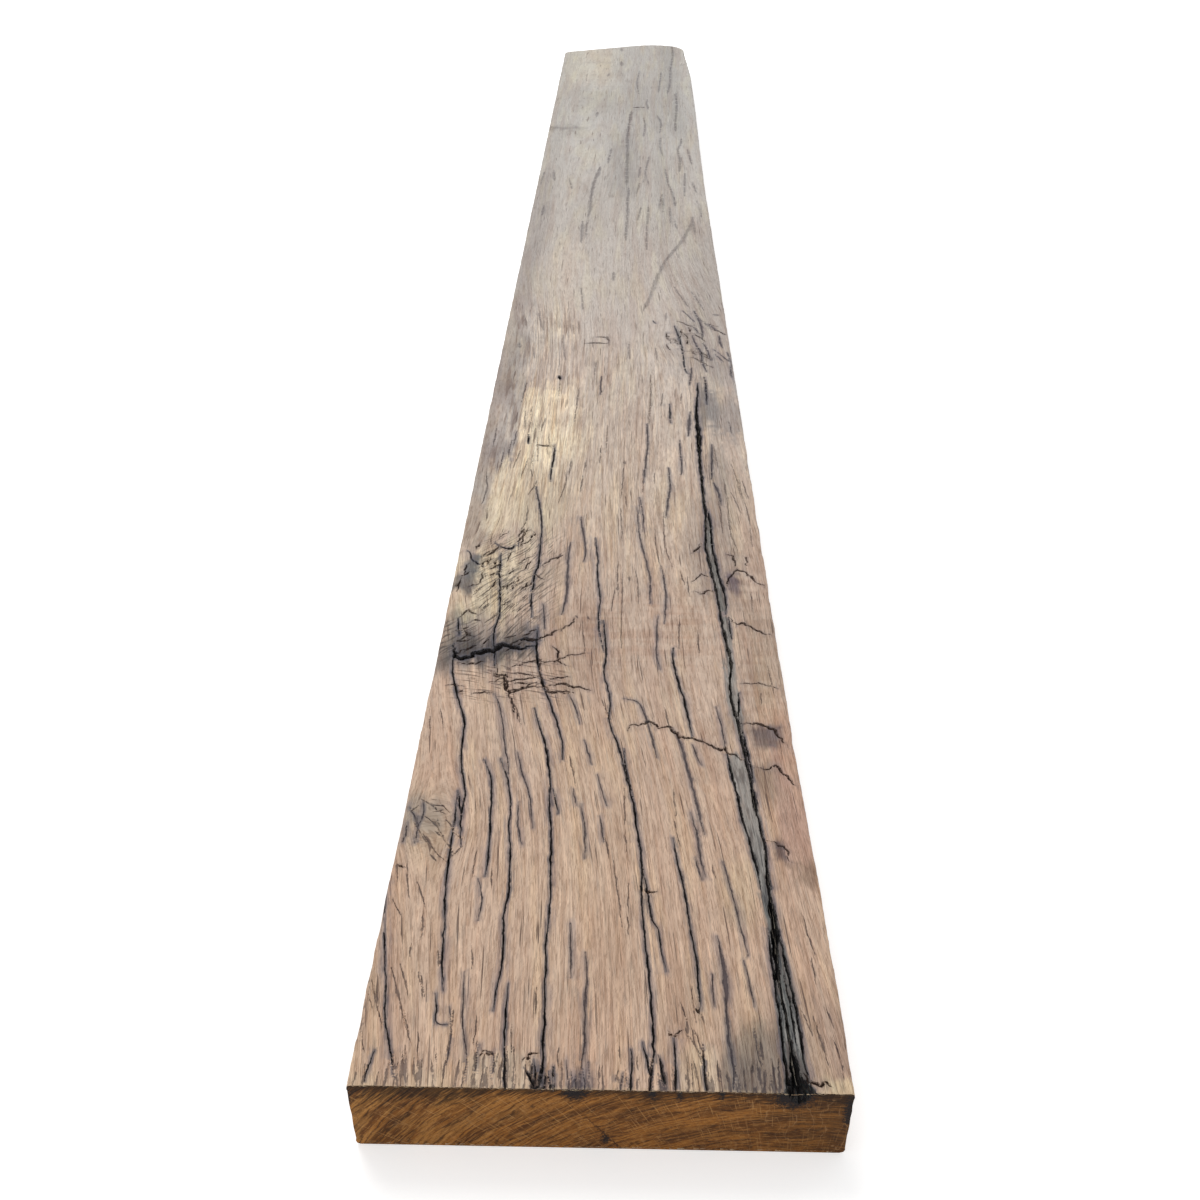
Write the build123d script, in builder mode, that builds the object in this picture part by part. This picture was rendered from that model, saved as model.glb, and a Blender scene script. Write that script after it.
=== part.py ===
from build123d import *
import math
import os

# Reclaimed oak plank, one piece of wagon board, in millimetres.
# It lies on its underside: X across the board, Y along it, Z up.
# The near end (-Y) is freshly sawn and square, the far end (+Y) is old, skewed and worn.

# Driving sizes of the board
length = 2400.0            # from the sawn end to the tip of the far end
width = 241.0              # across the sawn end
thickness = 48.0

# The long edges
left_taper = 3.4           # how far the left edge has drawn in by the far end
waist = 3.0                # how far the right edge draws in behind the sawn end
waist_along = 330.0        # where it is fully in, from the sawn end
waist_end_from_tip = 1050.0    # where it starts out again, back from the tip
swell = 3.6                # how far the right edge stands out near the far end
swell_from_tip = 290.0     # where that is, back from the tip

# The far end
left_set_back = 70.0       # how far the far end's left corner lies behind the tip
corner_set_back = 57.0     # where the right edge turns into the rounded corner
corner_lean = 5.0          # how far the edge has leaned in by then
tip_inset = 52.0           # the tip, in from the widest place of the right edge
tip_reach = 46.0           # the rounded stretch beside the tip
tip_drop = 6.0             # how far the far edge has fallen back at its end
left_corner_radius = 9.0

# Wear on the arrises: the sawn end keeps its sharp ones
upper_arris = 1.6
under_arris = 2.6

# The long split that runs out of the sawn end, and its branches
split_depth = 15.0
branch_mouth = 1.7
branch_depth = 10.0

# Drying checks that follow the grain
check_mouth = 1.5
check_depth = 8.0
fine_check_mouth = 1.0
fine_check_depth = 5.0

# Breaks that cross the grain
fissure_mouth = 4.6
fissure_depth = 6.0
cross_mouth = 1.3
cross_depth = 3.5

# Hollows where the knots were brushed out
knot_depth = 1.4
near_knot_radius = 24.0
middle_knot_radius = 30.0
far_knot_radius = 19.0

# How a check closes: a thin root, and tips that end in almost nothing
root_share = 0.15
tip_width = 0.12
tip_slope = 0.35           # how much of the last stretch slopes down to the root
overrun = 1.0              # how far a cutter stands out of the surface it cuts

LEFT = -1
RIGHT = 1

# Each route is a list of points: how far in from the edge, how far from the sawn end.
# The split's points have a third number, its mouth there.
SPLIT = [
    (27, -overrun, 14.0), (27, 6, 12.5), (26.5, 13, 7.0), (27, 30, 3.0), (27.5, 50, 2.4),
    (28.5, 75, 2.8), (28, 101, 4.6), (29, 122, 3.0), (29, 145, 2.2), (28, 165, 1.8),
    (30, 185, 2.2), (31.5, 205, 2.7), (33, 228, 2.4), (35.5, 255, 1.8), (35.5, 272, 3.2),
    (39, 297, 1.7), (37.5, 325, 2.2), (36.5, 340, 2.7), (38.5, 360, 2.4), (40.5, 391, 1.9),
    (42, 426, 1.9), (45, 458, 1.8), (47, 482, 1.8), (46, 503, 1.6), (44, 540, 1.6),
    (45, 575, 1.6), (45, 625, 1.9), (44, 675, 4.2), (44.5, 715, 2.0), (42, 750, 1.5),
    (40, 784, tip_width),
]
BRANCHES = [
    [(23, 18), (22.5, 45), (24.5, 72), (26.5, 98)],
    [(34, 134), (36, 160), (39.5, 180), (41, 200), (44, 222), (45.5, 243)],
    [(35.5, 400), (36, 420), (38, 436), (39.5, 456), (40.5, 470), (42, 492), (41, 520), (43, 545)],
    [(32, 569), (36, 590), (36, 610), (33, 655), (30, 690)],
]

# Checks that are open to the sawn end
END_CHECKS = [
    (LEFT, [(93, -overrun), (92, 25), (91.5, 47)]),
    (LEFT, [(75, -overrun), (74.5, 14), (74, 27)]),
    (RIGHT, [(97, -overrun), (96, 16), (94, 32), (94.5, 55), (96.5, 76), (99, 101), (98, 121)]),
    (RIGHT, [(69.5, -overrun), (70, 25), (70.5, 60), (72, 85), (75, 120), (77, 138), (80, 159)]),
    (RIGHT, [(84, -overrun), (84, 15), (82.5, 32)]),
]
# Checks that start and end in the face
LONG_CHECKS = [
    (LEFT, [(90, 55), (91, 72), (90, 92), (90.5, 125), (89.5, 150), (88, 170), (89, 204),
            (87, 218), (84, 232), (80, 250), (75, 268)]),
    (LEFT, [(36, 200), (32, 217), (28.5, 235), (28, 255), (26, 270), (22, 285), (13, 319)]),
    (LEFT, [(91, 245), (87, 265), (82, 282), (77, 300), (74, 314), (70, 333), (68, 356)]),
    (LEFT, [(53, 150), (53, 170), (52, 185), (51, 200), (49.5, 215), (43, 232)]),
    (LEFT, [(38, 58), (36, 76), (34, 100), (32, 120), (30, 152)]),
    (LEFT, [(67, 63), (67, 90), (66, 104), (67, 120), (66, 148), (64.5, 166)]),
    (LEFT, [(61, 205), (59, 222), (55, 240), (53, 258), (51, 276)]),
    (LEFT, [(111, 9), (112.5, 25), (112, 45), (112.5, 65), (111.5, 80)]),
    (LEFT, [(56, 8), (55, 20), (51, 35), (50, 50), (49, 67)]),
    (LEFT, [(40, 330), (39, 345), (37, 362), (40, 384), (38, 400), (36, 420), (34, 441), (35, 456)]),
    (LEFT, [(86, 392), (86, 415), (86, 433), (86, 456), (87, 488)]),
    (LEFT, [(118, 326), (117, 342), (115, 362), (115, 382)]),
    (LEFT, [(112, 350), (111, 380), (111, 420), (109, 450), (108, 481)]),
    (RIGHT, [(96, 124), (98, 137), (99, 151), (101, 170), (103, 186), (105, 205), (109, 226),
             (112, 241), (115, 256), (119, 272), (122, 286)]),
    (RIGHT, [(66, 256), (68, 275), (70, 295), (74, 315), (76, 335), (77, 349)]),
    (RIGHT, [(64, 139), (66, 160), (68.5, 183)]),
    (RIGHT, [(63, 168), (66, 195), (69, 215), (72, 235), (74, 250), (79, 263)]),
    (RIGHT, [(57, 9), (56.5, 20), (57.5, 40), (57, 60), (59, 86)]),
    (RIGHT, [(88, 330), (88, 345), (87.5, 366), (86, 386)]),
    (RIGHT, [(81, 380), (80, 400), (81, 441)]),
]
FINE_CHECKS = [
    (LEFT, [(72, 28), (72, 42), (71.5, 60)]),
    (LEFT, [(60, 396), (60, 411), (62, 426), (62, 442)]),
    (LEFT, [(67, 600), (66, 622), (67, 649)]),
    (LEFT, [(78, 1280), (80, 1330), (80, 1430), (89, 1500)]),
    (LEFT, [(72, 1190), (72, 1270)]),
    (RIGHT, [(46, 84), (47, 105), (49, 120), (53, 147)]),
    (RIGHT, [(108, 1360), (109, 1400), (111, 1440), (112, 1500), (111, 1600), (113, 1700)]),
    (RIGHT, [(92, 975), (82, 1020), (75, 1080), (65, 1130), (45, 1190), (32, 1240), (23, 1290)]),
    (RIGHT, [(34, 1500), (32, 1590), (35, 1640)]),
    (RIGHT, [(44, 1980), (36, 2060), (32, 2200), (25, 2290)]),
    (RIGHT, [(60, 810), (51, 862), (52, 890), (60, 930)]),
]
FISSURE = [
    (10, 351), (12, 338), (18, 334), (26, 339), (32, 343), (40, 344), (44, 351), (50, 348),
    (58, 347), (64, 350), (67, 349),
]
CROSS_BREAKS = [
    (RIGHT, [(107, 262), (103, 267), (98, 266), (93, 269), (87, 265), (80, 262), (71, 254),
             (66, 255), (60, 250), (50, 243), (46, 245), (45, 240), (36, 234)]),
    (RIGHT, [(35, 272), (28, 269), (23, 270), (19, 267), (14, 264), (8, 252), (5, 243)]),
    (LEFT, [(40, 321), (42, 314), (49, 316), (51, 306), (53, 299), (58, 299), (65, 304), (73, 310)]),
    (LEFT, [(78, 305), (86, 308), (98, 305)]),
    (RIGHT, [(31, 430), (30, 447), (24, 449), (18, 447), (13, 438), (9, 432), (5, 429)]),
    (RIGHT, [(34, 383), (29, 379), (25, 381), (19, 375), (12, 370), (5, 367)]),
    (RIGHT, [(24, 11), (21, 7), (18, 5), (12, 4.5)]),
]


def place(side, inset, along):
    """A point of a route, from the edge it is measured from and from the sawn end."""
    return Vector(side * (width / 2 - inset), along)


def mouths(count, widest, open_end):
    """The mouth at each point of a check: it fades at its tips, or away from the sawn end."""
    shares = [index / (count - 1) for index in range(count)]
    if open_end:
        return [widest * math.sqrt(1 - share) for share in shares]
    return [widest * math.sqrt(math.sin(math.pi * share)) for share in shares]


def ring(points, widths):
    """The closed outline round a route: up one side of it and back down the other."""
    out, back = [], []
    for index, point in enumerate(points):
        before = points[max(index - 1, 0)]
        after = points[min(index + 1, len(points) - 1)]
        along = (after - before).normalized()
        half = Vector(-along.Y, along.X) * (max(widths[index], tip_width) / 2)
        out.append(point + half)
        back.append(point - half)
    return out + back[::-1]


def check_wedge(points, widths, depth, open_end=False):
    """The space of one check, from its mouth at the upper face down to a thin root."""
    root = list(points)
    root[-1] = points[-1] + (points[-2] - points[-1]) * tip_slope
    if not open_end:
        root[0] = points[0] + (points[1] - points[0]) * tip_slope
    rise = 1 + (1 - root_share) * overrun / depth
    with BuildSketch(board.offset(thickness + overrun)) as mouth:
        Polygon(*ring(points, [rise * wide for wide in widths]), align=None)
    with BuildSketch(board.offset(thickness - depth)) as bed:
        Polygon(*ring(root, [root_share * wide for wide in widths]), align=None)
    return loft([bed.sketch.face(), mouth.sketch.face()], ruled=True, mode=Mode.PRIVATE)


def check_wedges(checks, widest, depth, open_end=False):
    """The spaces of a list of checks that share a mouth and a depth."""
    wedges = []
    for side, route in checks:
        points = [place(side, inset, along) for inset, along in route]
        widths = mouths(len(points), widest, open_end)
        wedges.append(check_wedge(points, widths, depth, open_end))
    return wedges


def board_outline(inset):
    """The board from above, from the middle of the sawn end, drawn in by inset at its old sides."""
    right = width / 2 - inset
    left = inset - width / 2
    reach = right + swell
    far = length - inset
    waist_start = Vector(right - waist, waist_along)
    waist_end = Vector(right - waist, length - waist_end_from_tip)
    swell_top = Vector(reach, length - swell_from_tip)
    corner_start = Vector(reach - corner_lean, length - corner_set_back)
    tip = Vector(reach - tip_inset, far)
    tip_end = tip - Vector(tip_reach, tip_drop)
    far_left = Vector(left + left_taper, far - left_set_back)
    with BuildSketch() as outline:
        with BuildLine():
            edge = Polyline((left, 0), (right, 0), waist_start, waist_end, swell_top, corner_start)
            Spline(corner_start, tip, tangents=(edge % 1, (-1, 0)))
            TangentArc(tip, tip_end, tangent=(-1, 0))
            Polyline(tip_end, far_left, (left, 0))
        make_face()
        fillet(outline.vertices().sort_by_distance(far_left)[0], left_corner_radius - inset)
    return outline.sketch


# The origin is on the underside, below the middle of the board's own box
middle = board_outline(0).bounding_box().center()
board = Plane(origin=(-middle.X, -middle.Y, 0))

# Height and inset of each section of the board: its arrises are worn round in two facets
facet = 1 - math.sqrt(0.5)
sections = [
    (0, under_arris),
    (facet * under_arris, facet * under_arris),
    (under_arris, 0),
    (thickness - upper_arris, 0),
    (thickness - facet * upper_arris, facet * upper_arris),
    (thickness, upper_arris),
]

with BuildPart() as plank:
    # The board, with worn arrises everywhere but on the sawn end
    for height, inset in sections:
        with BuildSketch(board.offset(height)):
            add(board_outline(inset))
    loft(ruled=True)

    # Shallow hollows of the three knots
    for side, inset, along, radius in (
        (LEFT, 18, 178, near_knot_radius),
        (LEFT, 42, 468, middle_knot_radius),
        (RIGHT, 52, 886, far_knot_radius),
    ):
        ball = (radius ** 2 + knot_depth ** 2) / (2 * knot_depth)
        spot = place(side, inset, along)
        with Locations(board.location * Location((spot.X, spot.Y, thickness - knot_depth + ball))):
            Sphere(ball, mode=Mode.SUBTRACT)

    # The long split and its branches, the drying checks and the breaks across the grain
    split_line = [place(RIGHT, inset, along) for inset, along, mouth in SPLIT]
    wedges = [check_wedge(split_line, [mouth for inset, along, mouth in SPLIT], split_depth, True)]
    wedges += check_wedges([(RIGHT, route) for route in BRANCHES], branch_mouth, branch_depth)
    wedges += check_wedges(END_CHECKS, check_mouth, check_depth, open_end=True)
    wedges += check_wedges(LONG_CHECKS, check_mouth, check_depth)
    wedges += check_wedges(FINE_CHECKS, fine_check_mouth, fine_check_depth)
    wedges += check_wedges([(LEFT, FISSURE)], fissure_mouth, fissure_depth)
    wedges += check_wedges(CROSS_BREAKS, cross_mouth, cross_depth)
    add(wedges, mode=Mode.SUBTRACT)

plank.part.label = "plank"
os.makedirs("parts", exist_ok=True)
export_step(plank.part, "parts/plank.step")
print("plank", plank.part.bounding_box(), "volume", round(plank.part.volume))
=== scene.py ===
# %% Frame
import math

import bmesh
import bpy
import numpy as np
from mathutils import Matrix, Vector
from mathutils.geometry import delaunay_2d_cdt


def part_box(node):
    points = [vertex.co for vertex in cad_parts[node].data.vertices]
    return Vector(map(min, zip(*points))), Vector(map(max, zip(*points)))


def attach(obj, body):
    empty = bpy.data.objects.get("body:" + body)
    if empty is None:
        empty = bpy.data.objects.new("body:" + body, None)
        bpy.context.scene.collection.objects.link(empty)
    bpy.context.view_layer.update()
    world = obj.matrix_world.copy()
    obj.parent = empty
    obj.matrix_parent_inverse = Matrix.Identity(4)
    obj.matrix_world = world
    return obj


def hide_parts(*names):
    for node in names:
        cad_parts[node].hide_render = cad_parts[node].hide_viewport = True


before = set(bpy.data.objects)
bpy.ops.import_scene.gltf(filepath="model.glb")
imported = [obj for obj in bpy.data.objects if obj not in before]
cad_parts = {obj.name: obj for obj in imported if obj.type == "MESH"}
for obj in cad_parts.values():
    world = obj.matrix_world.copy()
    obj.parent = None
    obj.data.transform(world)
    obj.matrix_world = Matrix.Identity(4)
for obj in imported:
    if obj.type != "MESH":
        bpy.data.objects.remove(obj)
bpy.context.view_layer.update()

# %% [markdown]
# # A reclaimed oak board
# This script dresses one thick oak board that spent decades outdoors in a wagon or a barn. It was
# then brushed clean and sawn square at one end. The CAD model gives its size, its long split and
# its main checks. The looks come from a finer mesh of the same board, from three wood materials
# for its face, its fresh sawn end and its old far end, and from a fringe of torn fibres.
#
# Places on the board are easiest to think of from the middle of the fresh saw cut: x across the
# board, y along it and z up from the floor, all in millimetres. One function turns them into the
# frame's metres, so every list below can be checked with a tape measure.

MM = 0.001
low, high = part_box("plank")
LENGTH = (high.y - low.y) / MM
THICKNESS = (high.z - low.z) / MM
HALF_WIDTH = 120.5  # half the width of the sawn end
MIDDLE_X = low.x / MM + HALF_WIDTH  # where the middle of the sawn end lies in the frame
SAWN_Y = low.y / MM
FIBRE_ROOM = 0.35  # the saw cut stands this far inside, for its torn fibres


def to_frame(places):
    """Places on the board, in millimetres, as points of the frame in metres."""
    return (np.asarray(places, float) + (MIDDLE_X, SAWN_Y, 0)) * MM


print(f"board {LENGTH:.0f} mm long, {THICKNESS:.0f} mm thick, middle at x {MIDDLE_X:.1f} mm")

# %% [markdown]
# ## The camera
# The photograph looks down the board from just behind and above its sawn end. Fitting a pinhole
# camera to the board's corners gave the place and the angles below. A 36 mm wide sensor then needs
# a lens of 36 times the focal length in pixels over the picture's width.

# %% The camera
PICTURE_WIDTH = 1200
FOCAL_PIXELS = 1264.5
SENSOR_MM = 36.0
CAMERA_PLACE = (7.6, -360.1, 576.9)
CAMERA_DOWN = math.radians(34.556)
CAMERA_LEFT = math.radians(1.184)

camera_data = bpy.data.cameras.new("camera")
camera_data.sensor_width = SENSOR_MM
camera_data.lens = SENSOR_MM * FOCAL_PIXELS / PICTURE_WIDTH
camera_data.clip_start = 0.01
camera = bpy.data.objects.new("camera", camera_data)
camera.location = to_frame(CAMERA_PLACE)
camera.rotation_euler = (math.pi / 2 - CAMERA_DOWN, 0, CAMERA_LEFT)
bpy.context.scene.collection.objects.link(camera)
bpy.context.scene.camera = camera
print(f"lens {camera_data.lens:.2f} mm")

# %% [markdown]
# ## Colours and nodes
# A picked colour is an sRGB value, and a shader wants linear light, so one function turns hex text into
# linear numbers. A second small function adds any node with its settings and links.

# %% Colour and node helpers
def linear(text, alpha=1.0):
    """An sRGB hex colour as linear red, green, blue and alpha."""
    parts = [int(text[i:i + 2], 16) / 255 for i in (1, 3, 5)]
    return [p / 12.92 if p <= 0.04045 else ((p + 0.055) / 1.055) ** 2.4 for p in parts] + [alpha]


def node(tree, kind, settings=None, output=0, **inputs):
    """Adds a node with its settings and links, and gives back one of its outputs.

    An input is a value or another node's output, and _ in its name stands for a space.
    """
    made = tree.nodes.new(kind)
    for name, value in (settings or {}).items():
        setattr(made, name, value)
    for name, value in inputs.items():
        key = int(name[1:]) if name[1:].isdigit() else name.replace("_", " ")
        socket = made.inputs[key]
        if isinstance(value, bpy.types.NodeSocket):
            tree.links.new(value, socket)
        else:
            socket.default_value = value
    return made.outputs[output] if made.outputs else None


def new_material(name):
    """An empty node material and its tree."""
    material = bpy.data.materials.new(name)
    material.use_nodes = True
    material.node_tree.nodes.clear()
    return material, material.node_tree


# %% [markdown]
# ## Floor and light
# A product picture wants a white ground that still takes the object's shadow. The floor is a pale
# diffuse sheet. Rays that come straight from the camera, or by way of a gloss, also see a little
# glow on it, which lifts the lit part to white and leaves the shadow soft. The world is white to
# those rays too. Everything else sees a plain grey-white sky, and one broad lamp from high behind
# the board gives the brushed grain its relief and leaves the sawn end in gentle shade.

# %% Floor, world and lamp
FLOOR_SIZE = 40.0
FLOOR_DROP = 0.0002
FLOOR_GLOW = 0.46
WORLD_STRENGTH = 0.62
LAMP_PLACE = (-0.9, 1.1, 3.2)
LAMP_AIM = (0.0, -0.35, 0.0)
LAMP_SIZE = 2.2
LAMP_WATTS = 62.0


def straight_ray(tree):
    """1 for rays that come from the camera, a gloss or a transmission, 0 for all other rays."""
    camera_ray = node(tree, "ShaderNodeLightPath", output="Is Camera Ray")
    gloss_ray = camera_ray.node.outputs["Is Glossy Ray"]
    through_ray = camera_ray.node.outputs["Is Transmission Ray"]
    either = node(tree, "ShaderNodeMath", {"operation": "MAXIMUM"}, _0=camera_ray, _1=gloss_ray)
    return node(tree, "ShaderNodeMath", {"operation": "MAXIMUM"}, _0=either, _1=through_ray)


floor_material, tree = new_material("pale_studio_floor")
glow = node(tree, "ShaderNodeMath", {"operation": "MULTIPLY"}, _0=straight_ray(tree), _1=FLOOR_GLOW)
sheet = node(tree, "ShaderNodeBsdfDiffuse", Color=linear("#F2F2F2"))
shine = node(tree, "ShaderNodeEmission", Color=linear("#FFFFFF"), Strength=glow)
both = node(tree, "ShaderNodeAddShader", _0=sheet, _1=shine)
node(tree, "ShaderNodeOutputMaterial", Surface=both)

floor_mesh = bpy.data.meshes.new("floor")
half = FLOOR_SIZE / 2
floor_mesh.from_pydata([(-half, -half, -FLOOR_DROP), (half, -half, -FLOOR_DROP),
                        (half, half, -FLOOR_DROP), (-half, half, -FLOOR_DROP)], [], [(0, 1, 2, 3)])
floor_mesh.materials.append(floor_material)
floor = bpy.data.objects.new("floor", floor_mesh)
bpy.context.scene.collection.objects.link(floor)

world = bpy.data.worlds.new("studio")
world.use_nodes = True
world.node_tree.nodes.clear()
tree = world.node_tree
sky = node(tree, "ShaderNodeBackground", Color=linear("#FFFFFF"), Strength=WORLD_STRENGTH)
white = node(tree, "ShaderNodeBackground", Color=linear("#FFFFFF"), Strength=1.0)
seen = node(tree, "ShaderNodeMixShader", Fac=straight_ray(tree), _1=sky, _2=white)
node(tree, "ShaderNodeOutputWorld", Surface=seen)
bpy.context.scene.world = world

lamp_data = bpy.data.lights.new("broad_lamp", "AREA")
lamp_data.shape = "DISK"
lamp_data.size = LAMP_SIZE
lamp_data.energy = LAMP_WATTS
lamp = bpy.data.objects.new("broad_lamp", lamp_data)
lamp.location = LAMP_PLACE
lamp.rotation_euler = (Vector(LAMP_AIM) - Vector(LAMP_PLACE)).to_track_quat("-Z", "Y").to_euler()
bpy.context.scene.collection.objects.link(lamp)
bpy.context.scene.view_settings.view_transform = "Standard"
print(f"lamp {LAMP_SIZE} m wide")

# %% [markdown]
# ## The checks, read off the board
# Oak dries faster along its surface than inside, and the face splits along the grain: such a split is called
# a check. Rain carries iron and dirt into it, and iron turns oak's tannin blue-black, so each check has a
# dark root and a thin bluish rim. Their routes can't be invented, because they are what makes this board
# this board, so they are lists of points, given one by one.
# Each route starts with its mouth in millimetres, and a third number changes the mouth there.
#
# Open checks are black and deep. Shut ones are mostly stain. Brown ones are fine, with no iron
# in them. Old ones, on the far half, are worn down to soft grey lines.

# %% Open checks
OPEN_CHECKS = [
    (1.6, [(-28, -2, 1.9), (-27.7, 12), (-28.4, 28), (-28, 38), (-28.6, 48, 1.2), (-29.5, 58, 0.9),
        (-29.4, 70, 1.4), (-30.7, 92, 1.1), (-30, 98, 0.8), (-29.5, 110, 1.3), (-30, 130), (-31, 150, 1.8),
        (-32, 175), (-34, 190, 1.3), (-34.3, 200, 1.0), (-34.5, 213), (-37, 230, 1.9), (-40, 248, 1.9),
        (-44, 263, 1.3), (-48.5, 282, 0.8)]), (1.2, [(-33, 206), (-30, 193), (-28.5, 184)]),
    (1.8, [(-108.5, 338, 1.5), (-107, 318), (-104, 307, 1.9), (-100.5, 293, 2.0), (-96, 278), (-92.5, 264),
        (-92, 245), (-91, 227, 1.6), (-87.5, 212, 1.4), (-85, 200, 1.1), (-85.5, 188, 1.4),
        (-85.5, 177, 1.2), (-84, 165, 0.9), (-83, 156)]), (1.6, [(-90, 203), (-87.6, 192), (-86.2, 184)]),
    (1.7, [(-52, 372, 1.1), (-52, 356), (-51, 340), (-47.5, 320, 1.6), (-44, 305, 1.8), (-39.5, 290),
        (-34, 271, 1.6), (-30, 256, 1.2), (-28.5, 245, 1.0), (-28, 232)]),
    (1.4, [(-77, 231, 0.8), (-72, 219, 1.0), (-69.5, 203, 1.2), (-68.5, 188), (-67.5, 165, 1.6),
        (-66.6, 156, 1.6), (-67, 146, 1.3), (-66.8, 134)]),
    (1.4, [(-67, 232, 0.9), (-61, 215, 1.3), (-58, 200, 1.2), (-56.6, 190, 0.9), (-57.3, 175, 1.0),
        (-55, 160), (-53.5, 140, 1.5), (-52.5, 120, 1.3), (-54.5, 110, 1.4), (-53.5, 98, 1.6),
        (-53, 85, 1.8), (-52.3, 75, 1.9), (-52.3, 66, 1.3), (-54, 58, 0.9), (-54.5, 44)]),
    (1.5, [(-90, 202, 0.6), (-89.3, 180, 0.9), (-89.2, 168), (-89, 145, 1.8), (-88.5, 138), (-88, 125),
        (-87, 110, 1.6), (-85.5, 103, 1.2), (-85, 88, 1.3), (-83, 68, 1.4), (-80.8, 56)]),
    (1.3, [(-85, 54), (-83.2, 49), (-82.2, 43, 1.5), (-83.4, 38), (-82, 34.6), (-78.5, 34), (-76, 35.5)]),
    (1.6, [(-48.5, 61, 1.0), (-48, 48), (-48, 38), (-47.6, 28, 1.3), (-46.4, 18, 1.9), (-45, -2, 2.3)]),
    (1.2, [(-121.5, 128), (-119.7, 114), (-118.4, 103), (-117.4, 92), (-115.3, 84), (-113, 70, 0.8),
        (-110, 57, 0.7), (-109.5, 45, 0.7), (-107.4, 36, 0.9), (-105, 28), (-103, 23, 0.9), (-100, 12, 0.7),
        (-98, 4, 0.7)]), (1.4, [(-110, 20, 0.9), (-112, 9), (-111.6, 2)]),
    (1.6, [(-13.5, 495, 0.7), (-12, 475, 1.0), (-11, 460, 1.1), (-11, 438, 1.3), (-8, 412, 1.2),
        (-9, 388, 1.1), (-8, 370, 1.0), (-6.6, 355, 1.2), (-4, 344, 1.0)]),
    (1.4, [(-5.2, 382, 0.8), (-4.3, 365), (-3, 348, 1.7), (-2.5, 335, 1.6), (-4.4, 326, 1.2), (-3, 314, 1.3),
        (0, 300, 1.1), (1.4, 285, 1.0), (0, 274, 1.0), (2, 262, 1.2), (4.5, 253, 1.3), (7.5, 243, 1.6),
        (9.4, 230, 1.4), (12, 216, 1.2), (14, 206, 1.3), (16.5, 192, 1.7), (18, 175, 1.8), (20, 158, 1.7),
        (20.8, 142, 1.5), (20.5, 130, 1.2), (21, 110, 1.3), (22, 95, 1.4), (23.3, 75, 1.7), (25, 55, 1.6),
        (25.5, 35, 1.6), (26, 22, 1.3), (24.6, 12, 1.5), (24, -2, 1.8)]),
    (1.1, [(10, 243), (11, 226), (14.5, 210), (16, 200)]),
    (1.2, [(21.5, 141), (24, 123, 1.3), (26.5, 100, 1.0), (28.5, 103, 0.8), (30, 88), (33, 70)]),
    (1.5, [(39.4, 166, 0.9), (41, 148, 1.4), (43.5, 130, 1.8), (45.5, 110, 1.9), (46.5, 100), (48.5, 82),
        (49.5, 62, 1.5), (49.5, 46)]), (1.3, [(50, 26), (50.3, 12), (50.5, -2)]),
    (1.5, [(35.4, 31), (36.4, 15), (36, -2, 1.6)]), (2.6, [(28, 20, 0.9), (29.5, 11), (31.5, 3)]),
    (1.4, [(20.4, 27, 0.8), (23, 15), (24, 6)]), (2.6, [(-36.5, 12, 0.8), (-34, 8), (-31, 3), (-30, -2)]),
    (1.5, [(15, 23), (15.2, 12), (14.6, 0)]),
    (2.0, [(44, 350, 1.0), (43.5, 336), (46, 313), (50, 293), (52, 273), (54, 255, 1.2)]),
    (1.6, [(-87, 472, 0.8), (-86, 455), (-85, 435), (-82, 408, 1.8), (-80.5, 388, 1.4), (-83, 372, 1.3),
        (-82, 355), (-80, 340, 1.4), (-79, 327)]),
    (1.3, [(-66, 576, 0.7), (-63, 556, 0.9), (-60, 540, 1.1), (-58, 518), (-56.6, 500, 1.1), (-57, 480),
        (-56.5, 462, 1.7), (-56, 452, 2.6), (-60, 442, 2.0), (-58, 430, 1.4), (-59.5, 412), (-58.5, 398),
        (-57, 385)]), (1.4, [(-107, 362), (-109, 372), (-110, 383)]),
    (2.0, [(-54.5, 652), (-53, 640), (-54, 620), (-55, 600, 1.4), (-54, 586)]),
    (1.8, [(-78.4, 672), (-78, 654)]), (1.7, [(51, 738, 1.0), (51, 716), (51, 698)]),
    (3.4, [(-57, 800), (-55.6, 791)]),
    (1.3, [(61, 930), (64, 908, 1.8), (66, 893, 2.6), (67.5, 880, 1.6), (67, 862), (69, 848), (67, 830),
        (70, 808)]), (1.7, [(87, 800, 2.2), (88, 780), (87, 758, 1.4), (86.5, 738)]),
]

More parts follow.
